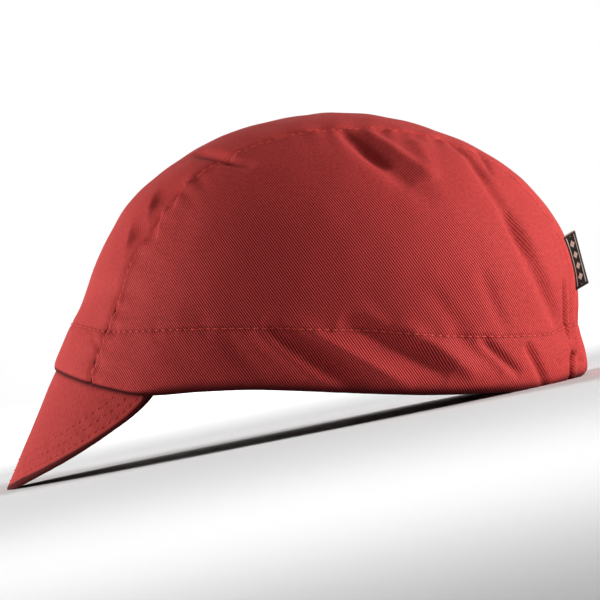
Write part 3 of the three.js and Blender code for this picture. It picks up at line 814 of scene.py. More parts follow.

# %% [markdown]
# The twill's yarns cross two over one, shifted by a yarn each time, which gives its slanting
# lines, the wales. They are 0.88 mm apart here. Each point of the cloth carries its place on the
# flat pattern piece, in metres, so the wales run as they do in the cut cloth, over folds too.
# Colour and bump share one height: high yarns are lighter, and the grooves between them are
# darkened with painted shade. Three more marks come with each point: how deep the wales and their
# painted groove shade are there, how worn the cloth, and how deep the painted shade is that darkens
# seams, rows of stitches, edges and hems. The strip and the peak have faint wales, in bump and in
# painted groove shade.

# %% Twill
WALE_PITCH = 0.00088
WALE_HEIGHT = 0.00006
WALE_EDGE = 3.7
WALE_TURN = math.radians(-53)
WALE_WANDER = 0.25
WALE_SHARE = 0.8
MEAN_HEIGHT = 0.45
FLOAT_LENGTH = 0.0011
YARNS_SHIFT = 3
SLUB_SCALE = 700
SLUB_DETAIL = 3
SLUB_BUMP = 0.3
CLOUD_SCALE = 38
CLOUD_DETAIL = 4
SIDE_GROOVES = 1.0
STRIP_GROOVES = 0.07
PEAK_GROOVES = 0.06
MOTTLE = 0.5
STRIP_MOTTLE = 0.4
MEAN_LIT = 0.56
STRIP_LIT = 0.6
WORN_LEAST = 0.35
WORN_CLOUDS = 0.6
TWILL_ROUGH = 0.6
TWILL_CLOUDS = 0.16
RED = (0.66, 0.071, 0.062, 1)
GROOVE_SHADE_RED = (0.06, 0.006, 0.011, 1)
WORN_RED = (0.72, 0.085, 0.072, 1)
PAINTED_SHADE_RED = (0.03, 0.002, 0.003, 1)
COTTON = {"Sheen Weight": 0.02, "Sheen Roughness": 0.4, "Sheen Tint": (1, 0.5, 0.4, 1),
          "Specular IOR Level": 0.03}


def twill(name, grooves, mottle, mean_lit):
    """Red cotton twill. The first number says how deep the grooves between the wales are and how
    dark their painted shade is, the next how uneven the yarns' colour is, and the last how light the
    cloth is between the two reds."""
    material, wires, shader = new_material(name, COTTON)
    place = attribute(wires, "cloth_place")
    along = place.node("ShaderNodeSeparateXYZ", {}, {"Vector": place}, "X")
    up = along.beside("Y")
    across = (along * math.sin(-WALE_TURN) + up * math.cos(WALE_TURN)) / WALE_PITCH
    down = (along * math.cos(WALE_TURN) + up * math.sin(WALE_TURN)) / FLOAT_LENGTH
    slub = noise(place, SLUB_SCALE, SLUB_DETAIL)
    cloudy = noise(place, CLOUD_SCALE, CLOUD_DETAIL)
    wale = (across + slub * WALE_WANDER).wave()
    floats = (down + across / YARNS_SHIFT).wave()
    height = wale * WALE_SHARE + floats * wale * (1 - WALE_SHARE)
    # The grooves between the wales are darkened with painted shade, most where the point's mark says
    # the wales are deepest.
    wale_depth_and_shade = attribute(wires, "wale_depth_and_shade", "Fac")
    contrast = wale_depth_and_shade * (grooves * WALE_EDGE)
    lit = ((height - MEAN_HEIGHT) * contrast + mean_lit + (slub - 0.5) * mottle).held()
    worn = attribute(wires, "worn", "Fac")
    shade = attribute(wires, "shade", "Fac")
    colour = lit.mixed(GROOVE_SHADE_RED, RED)
    colour = (worn * (WORN_LEAST + cloudy * WORN_CLOUDS)).held().mixed(colour, WORN_RED)
    # Painted shade of seams, rows of stitches, edges and hems, from the shade mark.
    colour = shade.mixed(colour, PAINTED_SHADE_RED)
    bump = bumped((height + slub * SLUB_BUMP) * wale_depth_and_shade, grooves, WALE_HEIGHT)
    rough = TWILL_ROUGH + cloudy * TWILL_CLOUDS
    plug(wires, shader, Base_Color=colour, Roughness=rough, Normal=bump)
    return material


twill_side = twill("red_twill", SIDE_GROOVES, MOTTLE, MEAN_LIT)
twill_strip = twill("red_twill_strip", STRIP_GROOVES, STRIP_MOTTLE, STRIP_LIT)
twill_peak = twill("red_twill_peak", PEAK_GROOVES, MOTTLE, MEAN_LIT)
print("wales for each centimetre:", round(0.01 / WALE_PITCH, 1))

# %% [markdown]
# The seam between a side panel and the strip runs from the front of the hem over the top to the
# back. Its places are cast onto the crown, joined by a smooth curve and shared out by length, so
# that the panels on both sides of it use the same columns and stay a needle's width apart.

# %% The seam
SIDE_COLUMNS = 440
STATION_EASE = 1.35
STATION_END = 0.97
FINE_SEAM = 2000


def seam_line(clearance, stations):
    """The left seam from the front of the hem to the back, moved sideways by a clearance."""
    half = SEAM["across"] * HALF_STRIP + clearance
    places = cast(np.stack(
        [half, SEAM["along"] * HALF_LENGTH, SEAM["up"] * CROWN_HEIGHT], -1))
    for row, at_back in ((0, False), (-1, True)):
        places[row] = rim_point(np.array(rim_turn(half[row], at_back)))
    keys = np.concatenate(
        [[0], np.cumsum(np.sqrt(np.linalg.norm(np.diff(places, axis=0), axis=1)))])
    fine = np.linspace(0, keys[-1], FINE_SEAM)
    line = np.stack([smooth(keys, places[:, axis], fine) for axis in range(3)], -1)
    length = arc_lengths(line)
    at = stations * length[-1]
    return cast(np.stack([np.interp(at, length, line[:, axis]) for axis in range(3)], -1))


def arc_lengths(line):
    """Distance along a line at each of its points."""
    steps = np.linalg.norm(np.diff(line, axis=0), axis=-1)
    return np.concatenate([np.zeros((1,) + steps.shape[1:]), np.cumsum(steps, axis=0)])


def closing_up(count):
    """Shares from 0 to 1 that lie closer together towards the gathered back."""
    share = 1 - (1 - np.linspace(0, STATION_END, count)) ** STATION_EASE
    return share / share[-1]


stations = closing_up(SIDE_COLUMNS)
left_seam = seam_line(GAP / 2, stations)
print("seam length, mm:", round(float(arc_lengths(left_seam)[-1]) * 1000, 1))

# %% [markdown]
# Where two panels are joined, the side panel's edge is turned under and sewn down close to the
# fold. That gives a small round ridge, a sunk row of stitches, and puckers where the thread draws
# the cloth in. The strip dives under the ridge, and its puckers are longer because it is
# stretched less. All of this is a function of two distances: along the seam and away from it.

# %% Relief beside the seams
RIDGE = 0.0004
RIDGE_PLACE = 0.0021
RIDGE_WIDTH = 0.0014
EDGE_DROP = 0.0007
EDGE_WIDTH = 0.0011
STITCH_PLACE = 0.0014
CHANNEL = 0.00022
CHANNEL_WIDTH = 0.0006
PUCKER = 0.00024
PUCKER_REACH = 0.0065
PUCKER_LENGTHS = (0.006, 0.013)
STRIP_DIP = 0.0009
STRIP_DIP_WIDTH = 0.0022
STRIP_PUCKER = 0.0003
STRIP_PUCKER_REACH = 0.009
STRIP_PUCKER_LENGTHS = (0.010, 0.019)
PUCKER_WAVES = 5


def puckers(along, lengths, seed):
    """Uneven gathers along a row of stitches."""
    return waves(along[..., None], PUCKER_WAVES, lengths, seed)


def side_edge(distance, along, seed):
    """Height that the turned edge of a side panel adds beside its seam."""
    gathered = PUCKER * puckers(along, PUCKER_LENGTHS, seed) * np.exp(-distance / PUCKER_REACH)
    ridge = RIDGE * bell(distance - RIDGE_PLACE, RIDGE_WIDTH)
    sunk = CHANNEL * bell(distance - STITCH_PLACE, CHANNEL_WIDTH)
    return ridge + gathered - sunk - EDGE_DROP * bell(distance, EDGE_WIDTH)


def strip_edge(distance, along, seed):
    """Height that the strip loses and gains beside its seam."""
    gathered = STRIP_PUCKER * puckers(along, STRIP_PUCKER_LENGTHS, seed)
    gathered = gathered * np.exp(-distance / STRIP_PUCKER_REACH)
    return gathered - STRIP_DIP * bell(distance, STRIP_DIP_WIDTH)


print("ridge beside the seam, mm:", RIDGE * 1000)

# %% [markdown]
# The row of stitches over the sweatband sinks a little into the cloth and gathers it, less than
# a seam does, since the tape under it holds the cloth out.

# %% Relief along the band
BAND_SUNK = 0.0003
BAND_SUNK_WIDTH = 0.0009
BAND_PUCKER = 0.00005
BAND_PUCKER_REACH = 0.003
BAND_PUCKER_LENGTHS = (0.005, 0.014)


def band_row(points, along, seed):
    """Height that the row of stitches over the sweatband takes away and gathers."""
    over = points[..., 2] - band_height(points[..., 1])
    gathered = BAND_PUCKER * puckers(along, BAND_PUCKER_LENGTHS, seed)
    return (gathered * np.exp(-np.abs(over) / BAND_PUCKER_REACH)
            - BAND_SUNK * bell(over, BAND_SUNK_WIDTH))


print("row of stitches sunk, mm:", BAND_SUNK * 1000)

# %% [markdown]
# Seams, rows of stitches and the foot of the hem look darker than the open cloth, because little
# light comes out of them again. The floor sends more light back than a head would, so part of this
# shade is painted into the cloth's colour as a mark on its points and not left to the lights alone.

# %% Shade of seams and hem
SEAM_SHADE = 0.6
SEAM_SHADE_WIDTH = 0.0009
ROW_SHADE = 0.3
ROW_SHADE_WIDTH = 0.0006
HEM_SHADE = 0.95
HEM_SHADE_WIDTH = 0.0027
HEM_SHADE_FRONT = 0.0006


def creased_shade(points, distance):
    """How dark the painted shade is in the seam, over the band's row and at the hem's foot."""
    over = points[..., 2] - band_height(points[..., 1])
    over_hem = np.maximum(points[..., 2] - rim_height(points[..., 1]), 0)
    shade = SEAM_SHADE * bell(distance, SEAM_SHADE_WIDTH) + ROW_SHADE * bell(over, ROW_SHADE_WIDTH)
    in_front = step_between(-points[..., 1] / HALF_LENGTH, *OVER_PEAK)
    width = HEM_SHADE_WIDTH + (HEM_SHADE_FRONT - HEM_SHADE_WIDTH) * in_front
    return np.minimum(shade + HEM_SHADE * bell(over_hem, width), 1)


def marked(points, flat, worn, wale_depth_shade, shade, hidden_wale_depth_shade, hidden_shade):
    """The marks of a cloth body. Its points come in the order of the outer face first, and the
    points after it, inside and on the edges, are unworn and share one wale depth with its painted
    groove shade, and one painted shade."""
    flat = flat.reshape(-1, 3)
    hidden = len(points) - worn.size
    return {
        "cloth_place": np.concatenate([flat, points[len(flat):]]),
        "worn": np.concatenate([worn.ravel(), np.zeros(hidden)]),
        "wale_depth_and_shade": np.concatenate([wale_depth_shade.ravel(), np.full(hidden, hidden_wale_depth_shade)]),
        "shade": np.concatenate([shade.ravel(), np.full(hidden, hidden_shade)]),
    }


print("width of the shade along the hem, mm:", HEM_SHADE_WIDTH * 1000)

# %% [markdown]
# A side panel is a fan of lines, each from the hem up to the seam, that close up to a point at
# both ends. The lines are laid on the crown and then raised or lowered along its normals. Rows lie
# closer together near the hem and the seam, where the detail is.

# %% Side panels
SIDE_ROWS = 151
INNER_EVERY = 5
ROW_EASE = 0.5
HEM_BULGE = 0.0006


def eased(count, ease):
    """Shares from 0 to 1 that lie closer together at both ends."""
    share = np.linspace(0, 1, count)
    return share - ease * np.sin(2 * math.pi * share) / (2 * math.pi)


def side_grids(side, seed):
    """The outer and inner faces of a side panel, with what its rows of stitches need."""
    start, end = rim_turn(left_seam[0, 0], False), rim_turn(left_seam[-1, 0], True)
    hem = rim_point(start + (end - start) * stations)
    share = eased(SIDE_ROWS, ROW_EASE)[None, :, None]
    base = cast(hem[:, None] * (1 - share) + left_seam[:, None] * share)
    normal = normal_at(base)
    if side == RIGHT:
        base, normal = base * MIRROR, normal * MIRROR
    seam = base[:, -1]
    tangent = unit(np.gradient(seam, axis=0))
    way = base - seam[:, None]
    slant = (way * tangent[:, None]).sum(-1)
    distance = np.sqrt(np.maximum((way**2).sum(-1) - slant**2, 0))
    along = arc_lengths(seam)[:, None] + slant
    round_hem = arc_lengths(hem)[:, None] + np.zeros(base.shape[:2])
    height = fine_relief(base) + side_edge(distance, along, seed) + band_row(base, round_hem, seed)
    outer = base + normal * height[..., None]
    inner = base + normal * (relief(base) - CLOTH)[..., None]
    return outer, inner[:, ::INNER_EVERY], normal, distance, base


print("points of a side panel's outer face:", SIDE_COLUMNS * SIDE_ROWS)

# %% [markdown]
# A side panel's cloth was flat once, and its weave ran straight. The place of each point on that
# flat piece is its distance round the wall, half by turn and half by length so that the wales are
# stretched evenly, and its distance up the wall. Where the wall faces squarely to the side, between
# the two lamps that rake along it, the wales are deepest and their grooves get the most painted
# shade; round the ends, which face the lamps, both are faint.

# %% Both side panels
LEAST_WALE_DEPTH_AND_SHADE = 0.14
FACING_POWER = 7
SIDE_WORN = 0.6
SIDE_WORN_WIDTH = 0.002
LEFT_SEED = 21
RIGHT_SEED = 22


def flat_side(base, hem_height):
    """Places on the flat pattern of a side panel: distance round the wall and up the wall."""
    turned = np.arctan2(base[..., 1], np.abs(base[..., 0]) + HALF_WIDTH / 2)
    round_wall = turned * (HALF_LENGTH + HALF_WIDTH / 2) * 0.5 + base[..., 1] * 0.5
    steps = np.linalg.norm(np.diff(base, axis=1), axis=-1)
    up = np.concatenate([np.zeros((len(base), 1)), np.cumsum(steps, axis=1)], axis=1)
    return np.stack([round_wall, up + hem_height[:, None], np.zeros_like(up)], -1)


def depth_and_shade_by_facing(normal):
    """How deep the wales and their painted groove shade are, by how squarely the wall faces the
    side.
    """
    return LEAST_WALE_DEPTH_AND_SHADE + (1 - LEAST_WALE_DEPTH_AND_SHADE) * np.abs(normal[..., 0]) ** FACING_POWER


def box_in_mm(corners):
    """A box's lowest and highest corner, in millimetres."""
    return [np.round(np.array(corner) * 1000, 1).tolist() for corner in corners]


side_data = {}
for side, word, seed in ((LEFT, "left", LEFT_SEED), (RIGHT, "right", RIGHT_SEED)):
    outer, inner, normal, distance, base = side_grids(side, seed)
    side_data[side] = (outer, normal, distance, base)
    points, faces = closed_sheet(outer, inner, HEM_BULGE)
    # Worn cloth beside the seam, deeper wales with more painted groove shade where the wall faces
    # the side, and painted shade of the seam, the band's row and the hem.
    marks = marked(points, flat_side(base, base[:, 0, 2]),
                   SIDE_WORN * bell(distance, SIDE_WORN_WIDTH), depth_and_shade_by_facing(normal),
                   creased_shade(base, distance), LEAST_WALE_DEPTH_AND_SHADE, HEM_SHADE)
    make_piece(f"{word}_side_panel", points, faces, marks, f"side_panel_{word}",
               twill_side)
    laid = settled(outer.reshape(-1, 3))
    print(word, "box, mm:", box_in_mm((laid.min(0), laid.max(0))))

# %% [markdown]
# The strip between the seams is laid out the same way, but its lines run across. Its first and
# last lines bend down to follow the hem, and the lines between pass smoothly from one to the
# other. Its edges go under the ridges of the side panels, so the seams close without a gap.

# %% Centre strip
STRIP_COLUMNS = 361
STRIP_ROWS = 101
STRIP_TUCK = 0.0005
RIM_BLEND = 4
STRIP_WORN = 0.4
STRIP_WORN_WIDTH = 0.003
STRIP_SEED = 31


def strip_grids(seed):
    """The outer and inner faces of the centre strip, with what its rows of stitches need."""
    share = closing_up(STRIP_COLUMNS)
    seam = seam_line(STRIP_TUCK, share)
    across = 2 * eased(STRIP_ROWS, ROW_EASE) - 1
    sideways = np.stack([across, np.ones_like(across), np.ones_like(across)], -1)
    front = rim_point(rim_turn(seam[0, 0], False) * across) - seam[0] * sideways
    rear_turn = math.pi - rim_turn(seam[-1, 0], True)
    rear = rim_point(math.pi - rear_turn * across) - seam[-1] * sideways
    places = seam[:, None] * sideways
    places = places + front * ((1 - share) ** RIM_BLEND)[:, None, None]
    places = places + rear * (share**RIM_BLEND)[:, None, None]
    base = cast(places)
    normal = normal_at(base)
    along = arc_lengths(seam)[:, None] + np.zeros(base.shape[:2])
    edges = [np.linalg.norm(base - edge[:, None], axis=-1) for edge in (base[:, 0], base[:, -1])]
    height = fine_relief(base) + band_row(base, base[..., 0], seed)
    height = height + strip_edge(edges[0], along, seed + 1) + strip_edge(edges[1], along, seed + 2)
    outer = base + normal * height[..., None]
    inner = base + normal * (relief(base) - CLOTH)[..., None]
    return outer, inner, normal, base, np.minimum(*edges), along


outer, inner, normal, base, edge, along = strip_grids(STRIP_SEED)
strip_data = (outer, normal, base)
points, faces = closed_sheet(outer, inner, HEM_BULGE)
flat = np.stack([base[..., 0], along, np.zeros_like(along)], -1)
# Worn cloth beside the seams, the same wale depth and painted groove shade all over, and painted
# shade of the seams, the band's row and the hem.
marks = marked(points, flat, STRIP_WORN * bell(edge, STRIP_WORN_WIDTH), np.ones_like(edge),
               creased_shade(base, edge), 1.0, HEM_SHADE)
make_piece("centre_strip", points, faces, marks, "centre_panel", twill_strip)
laid = settled(outer.reshape(-1, 3))
print("strip box, mm:", box_in_mm((laid.min(0), laid.max(0))))

# %% [markdown]
# The peak is a stiff board between two layers of twill, sewn under the front hem. Straight lines
# leave the hem at one slope and shorten towards the ends. Its edge is turned and topstitched in
# three rows that follow the outline, so the relief is a function of the distance from the edge.

# %% Peak
PEAK_COLUMNS = 240
PEAK_ROWS = 90
PEAK_ROW_PLACES = (0.003, 0.0073, 0.0118)
PEAK_CHANNEL = 0.00014
PEAK_CHANNEL_WIDTH = 0.0007
PEAK_PIPING = 0.00003
PEAK_PUCKER = 0.00004
PEAK_PUCKER_LENGTHS = (0.004, 0.010)
PEAK_PUCKER_END = 0.006
PEAK_UNDER_RELIEF = 0.6
PEAK_BULGE = 0.0011
PEAK_TUCK = 0.0016
PEAK_ROW_SHADE = 0.04
PEAK_EDGE_SHADE = 0.95
PEAK_EDGE_WIDTH = 0.0009
PEAK_ROOT_SHADE = 0.8
PEAK_ROOT_WIDTH = 0.0012
PEAK_UNDER_SHADE = 0.85
PEAK_WORN = 0.5
PEAK_WORN_WIDTH = 0.0016
PEAK_SEED = 41


def peak_grids(seed):
    """The upper and under faces of the peak, with what its rows of stitches need."""
    end_turn = rim_turn(PEAK_WIDTH / 2, False)
    turns = end_turn * np.sin(np.linspace(-math.pi / 2, math.pi / 2, PEAK_COLUMNS))
    hem = rim_point(turns)
    normal = normal_at(hem)
    root = hem - normal * PEAK_SETBACK - UP * GAP
    outward = unit(normal * [1, 1, 0])
    way = outward * math.cos(PEAK_SLOPE) - UP * math.sin(PEAK_SLOPE)
    under = -outward * math.sin(PEAK_SLOPE) - UP * math.cos(PEAK_SLOPE)
    spread = np.maximum(0, 1 - (hem[:, 0] / (PEAK_WIDTH / 2)) ** 2)
    thick = PEAK_THICKNESS * (PEAK_THINNEST + (1 - PEAK_THINNEST) * spread)
    length = PEAK_LENGTH * spread**PEAK_TAPER
    share = eased(PEAK_ROWS, ROW_EASE)[None, :]
    reach = (length[:, None] + PEAK_TUCK) * share - PEAK_TUCK
    upper = root[:, None] + way[:, None] * reach[..., None]
    outline = upper[:, -1]
    distance = nearest_on(upper.reshape(-1, 3), outline)[0].reshape(reach.shape)
    along = arc_lengths(outline)[:, None] + np.zeros_like(reach)
    height = PEAK_PIPING * bell(distance - PEAK_ROW_PLACES[0] / 2, PEAK_ROW_PLACES[0] / 2)
    last_row = PEAK_ROW_PLACES[-1]
    near_rows = step_between(distance, last_row + PEAK_PUCKER_END, last_row)
    height = height + PEAK_PUCKER * near_rows * puckers(along + distance, PEAK_PUCKER_LENGTHS, seed)
    for place in PEAK_ROW_PLACES:
        height = height - PEAK_CHANNEL * bell(distance - place, PEAK_CHANNEL_WIDTH)
    height = height + UNEVEN * waves(upper, UNEVEN_WAVES, UNEVEN_LENGTHS, seed)
    height = height * np.minimum(1, thick / PEAK_THICKNESS)[:, None]
    faces_out = -under[:, None]
    lower = upper + (under * thick[:, None])[:, None]
    lower = lower + under[:, None] * height[..., None] * PEAK_UNDER_RELIEF
    flat = np.stack([along, distance, np.zeros_like(reach)], -1)
    # A painted shadow of the hem over the peak's root.
    root_shade = PEAK_ROOT_SHADE * bell(reach, PEAK_ROOT_WIDTH)
    return upper + faces_out * height[..., None], lower, faces_out, distance, flat, root_shade


upper, lower, peak_normal, edge, flat, root_shade = peak_grids(PEAK_SEED)
peak_data = (upper, np.broadcast_to(peak_normal, upper.shape), edge)
points, faces = closed_sheet(upper, lower, PEAK_BULGE)
# Painted shade on the peak: faint along its rows of stitches and dark at its turned edge; its under
# face and edges are darker all over.
rows_shade = sum(PEAK_ROW_SHADE * bell(edge - place, ROW_SHADE_WIDTH) for place in PEAK_ROW_PLACES)
shade = np.minimum(rows_shade + PEAK_EDGE_SHADE * bell(edge, PEAK_EDGE_WIDTH) + root_shade, 1)
marks = marked(points, np.concatenate([flat, flat]), PEAK_WORN * bell(edge, PEAK_WORN_WIDTH),
               np.ones_like(edge), shade, 1.0, PEAK_UNDER_SHADE)
make_piece("stitched_peak", points, faces, marks, "peak", twill_peak)

# %% [markdown]
# The sweatband is a folded cotton tape, sewn inside the hem along the row of stitches. It follows
# the wall a little inside every fold. From outside it never shows, but from below it is the piece
# that meets the eye first, so it gets a woven rib and soft round edges.

# %% Sweatband
BAND_COLUMNS = 420
BAND_ROWS = 20
BAND_FEELERS = 5
BAND_RIPPLE = 0.00025
BAND_RIPPLE_PITCH = 0.023


def band_grids():
    """The outer and inner faces of the sweatband."""
    turn = np.arange(BAND_COLUMNS) * 2 * math.pi / BAND_COLUMNS
    hem = rim_point(turn)
    foot = hem[:, 2] + BAND_LIFT
    share = np.linspace(0, 1, BAND_ROWS)
    height = foot[:, None] + (band_height(hem[:, 1]) - foot)[:, None] * share
    point = wall_point(turn[:, None] + np.zeros_like(height), height)
    normal = normal_at(point)
    shifts = np.linspace(-FOLD_WIDTH, FOLD_WIDTH, BAND_FEELERS)
    low = np.full(height.shape, np.inf)
    for over in shifts:
        for around in shifts:
            near = wall_point(turn[:, None] + around / HALF_WIDTH, height + over)
            near[..., 2] = np.maximum(near[..., 2], rim_height(near[..., 1]))
            low = np.minimum(low, relief(near))
    along = arc_lengths(hem)[:, None] + np.zeros_like(height)
    loop = along[-1, 0] + np.linalg.norm(hem[0] - hem[-1])
    ripples = round(loop / BAND_RIPPLE_PITCH)
    ripple = BAND_RIPPLE * np.sin(2 * math.pi * along / loop * ripples)
    face = point + normal * (low - CLOTH - GAP)[..., None]
    inner = point + normal * (low - CLOTH - GAP - BAND_CLOTH + ripple)[..., None]
    return face, inner, along


face, inner, along = band_grids()
print("sweatband's inner face round, mm:", round(arc_lengths(inner[:, 0])[-1] * 1000))

# %% [markdown]
# The tape is plain woven, with a thread up for each thread down, and its thicker yarns stand up
# as fine ribs across it. Two waves make that weave, one along the tape and a finer one up it.

# %% Sweatband tape
RIB_PITCH = 0.0011
RIB_WANDER = 0.3
RIB_SHARE = 0.65
PICK_PITCH = 0.0006
TAPE_SLUB_SCALE = 300
TAPE_SLUB = 0.2
TAPE_BUMP = 0.5
TAPE_BUMP_HEIGHT = 0.0002
TAPE_ROUGH = 0.82
TAPE_ROUGH_SLUB = 0.1
TAPE_RED = (0.36, 0.024, 0.028, 1)


def plain_tape(name):
    """A plain-woven cotton tape with fine ribs across it."""
    material, wires, shader = new_material(name, COTTON)
    place = attribute(wires, "cloth_place")
    along = place.node("ShaderNodeSeparateXYZ", {}, {"Vector": place}, "X")
    up = along.beside("Y")
    slub = noise(place, TAPE_SLUB_SCALE, SLUB_DETAIL)
    rib = (along / RIB_PITCH + slub * RIB_WANDER).wave()
    pick = (up / PICK_PITCH).wave()
    height = rib * RIB_SHARE + pick * (1 - RIB_SHARE)
    # The low yarns of the weave are darkened with painted shade, mixed with uneven yarn colour.
    lit = (height * (1 - TAPE_SLUB) + slub * TAPE_SLUB).held()
    bump = bumped(height, TAPE_BUMP, TAPE_BUMP_HEIGHT)
    rough = TAPE_ROUGH + slub * TAPE_ROUGH_SLUB
    plug(wires, shader, Base_Color=lit.mixed(GROOVE_SHADE_RED, TAPE_RED), Roughness=rough, Normal=bump)
    return material


points, faces = closed_loop(face, inner, BAND_CLOTH / 2)
each = len(points) // BAND_COLUMNS
round_tape = np.repeat(along[:, 0], each)
places = np.stack([round_tape, points[:, 2], np.zeros_like(round_tape)], -1)
make_piece("folded_sweatband", points, faces, {"cloth_place": places}, "sweatband",
           plain_tape("red_tape"))

# %% [markdown]
# The label is one woven tape folded over itself and caught in the seam with both ends. It is
# built as a sheet bent into a narrow loop, so that its fold is round and its ends show two layers.
# Its face is plain black with a row of small cream diamonds between two lines.

# %% Label
LABEL_TAPE = 0.0003
LABEL_RIPPLE = 0.00025
LABEL_WAVE = 2.2
LABEL_ROWS = 40
LABEL_STEPS = 24
FOLD_TURNS = 9


def label_grids():
    """The outer and inner faces of the bent tape: round the fold, and up the label."""
    share = np.linspace(0, 1, FINE_SEAM)
    seam = seam_line(0.0, share)
    rear = seam[seam[:, 1] > HALF_LENGTH / 2][::-1]
    up = np.linspace(0, 1, LABEL_ROWS)
    wanted = LABEL_FOOT + LABEL_HEIGHT * up
    root = cast(np.stack([np.interp(wanted, rear[:, 2], rear[:, axis]) for axis in range(3)], -1))
    lift = relief(root) + GAP + LABEL_THICKNESS / 2
    root = root + normal_at(root) * lift[:, None]
    way = np.array([0, math.cos(LABEL_TILT), math.sin(LABEL_TILT)])
    low, high = (end + way * (LABEL_REACH - narrow)
                 for end, narrow in zip((root[0], root[-1]), LABEL_NARROW))
    edge = low + (high - low) * up[:, None]
    arm = np.linspace(0, 1, LABEL_STEPS)
    turn = np.linspace(0, math.pi, FOLD_TURNS + 2)[1:-1]

    def bent(half):
        """One face of the tape: out along the left side, round the fold and back."""
        reach = np.concatenate([arm, 1 + half / LABEL_REACH * np.sin(turn), arm[::-1]])
        aside = np.concatenate([np.full_like(arm, half), half * np.cos(turn),
                                np.full_like(arm, -half)])
        lean = LABEL_RIPPLE * np.sin(reach * LABEL_WAVE) * np.cos(math.pi * up)[:, None]
        grid = root + (edge - root) * reach[:, None, None]
        return grid + np.array([1.0, 0, 0]) * (aside[:, None] + lean.T)[..., None]

    reach = np.concatenate([arm, np.ones(FOLD_TURNS), arm[::-1]])
    flat = np.stack(np.broadcast_arrays(reach[:, None] * LABEL_REACH, LABEL_HEIGHT * up, 0.0), -1)
    return bent(LABEL_THICKNESS / 2), bent(LABEL_THICKNESS / 2 - LABEL_TAPE), flat


outer, inner, flat = label_grids()
print("points round the label's fold:", len(outer), "and up the label:", LABEL_ROWS)

# %% [markdown]
# A woven label's figure is made by its wefts, which come to the face in another colour. So the
# figure is drawn in the label's own lengths, as arithmetic on how far out and how far up a point
# is, and it stands a little proud of the satin. An image would need a file beside this one.

# %% Label's weave
LABEL_BLACK = (0.018, 0.015, 0.015, 1)
LABEL_CREAM = (0.78, 0.68, 0.56, 1)
LABEL_BEIGE = (0.5, 0.4, 0.3, 1)
LABEL_GLOSS = 0.4
FIGURE_MIDDLE = 0.52
FIGURE_COUNT = 5
DIAMOND_WIDE = 1.15
DIAMOND_SIZE = 0.34
LINE_PLACE = 0.36
LINE_WIDTH = 0.00022
FIGURE_MARGIN = 0.0011
CUT_EDGE = 0.0004
WEFT_PITCH = 0.0004
LABEL_SLUB_SCALE = 900
LABEL_SLUB_DETAIL = 2
FIGURE_LEAST = 0.75
FIGURE_SLUB = 0.4
FIGURE_PROUD = 0.6
LABEL_BUMP = 0.5
LABEL_BUMP_HEIGHT = 0.0001
LABEL_ROUGH = 0.5
LABEL_ROUGH_SLUB = 0.15


def label_satin():
    """Black woven satin with a row of plain cream diamonds between two lines."""
    material, wires, shader = new_material("black_label", {"Specular IOR Level": LABEL_GLOSS})
    place = attribute(wires, "cloth_place")
    reach = place.node("ShaderNodeSeparateXYZ", {}, {"Vector": place}, "X")
    up = reach.beside("Y")
    pitch = LABEL_HEIGHT / FIGURE_COUNT
    step = place.math("PINGPONG", up, pitch / 2)
    aside = place.math("ABSOLUTE", reach - LABEL_REACH * FIGURE_MIDDLE)
    diamond = place.math("LESS_THAN", aside / DIAMOND_WIDE + step, pitch * DIAMOND_SIZE)
    line = place.math("COMPARE", aside, LABEL_REACH * LINE_PLACE, LINE_WIDTH)
    figure = place.math("MAXIMUM", diamond, line)
    inside = place.math("COMPARE", up, LABEL_HEIGHT / 2, LABEL_HEIGHT / 2 - FIGURE_MARGIN)
    weft = (up / WEFT_PITCH).wave()
    slub = noise(place, LABEL_SLUB_SCALE, LABEL_SLUB_DETAIL)
    lit = (figure * inside * (FIGURE_LEAST + slub * FIGURE_SLUB)).held()
    cut = place.math("GREATER_THAN", up, LABEL_HEIGHT - CUT_EDGE)
    colour = cut.mixed(lit.mixed(LABEL_BLACK, LABEL_CREAM), LABEL_BEIGE)
    bump = bumped(weft + figure * FIGURE_PROUD, LABEL_BUMP, LABEL_BUMP_HEIGHT)
    rough = LABEL_ROUGH + slub * LABEL_ROUGH_SLUB
    plug(wires, shader, Base_Color=colour, Roughness=rough, Normal=bump)
    return material


points, faces = closed_sheet(outer, inner, LABEL_TAPE / 4)
hidden = len(points) - 2 * flat[..., 0].size
places = np.concatenate([flat.reshape(-1, 3), flat.reshape(-1, 3), np.zeros((hidden, 3))])
places[-hidden:, 1] = LABEL_HEIGHT
make_piece("woven_label", points, faces, {"cloth_place": places}, "back_label",
           label_satin())

# %% [markdown]
# Each cloth piece was cut flat before it was sewn: the sides as half-moons, the strip narrower
# towards the back, the sweatband and the label as plain tapes. The elastic gathers the panels, and
# the two tapes are folded. The table gives the cut of each, as it is without its seam allowances,
# in metres and square metres, so that whoever takes the cap apart knows the cloth it needs.

# %% Cut sizes
CUTS = [
    ("left_side_panel", (0.311, 0.123), 0.0215, "gathered"),
    ("right_side_panel", (0.311, 0.123), 0.0211, "gathered"),
    ("centre_strip", (0.099, 0.319), 0.023, "gathered"),
    ("folded_sweatband", (0.582, 0.02), 0.0116, "folded"),
    ("woven_label", (0.0138, 0.0202), 0.000203, "folded"),
]

for name, flat_size, flat_area, held in CUTS:
    print(name, "cut, mm:", [round(side * 1000) for side in flat_size])

# %% [markdown]
# The stitches are real thread here: each one is a small bead that rises out of the cloth at one
# hole and dives back at the next. A row is found on the finished surface of its piece, as the
# line where a distance from an edge has the machine's setting, so it follows each pucker. All the
# beads of one row are made at once and joined into one mesh.

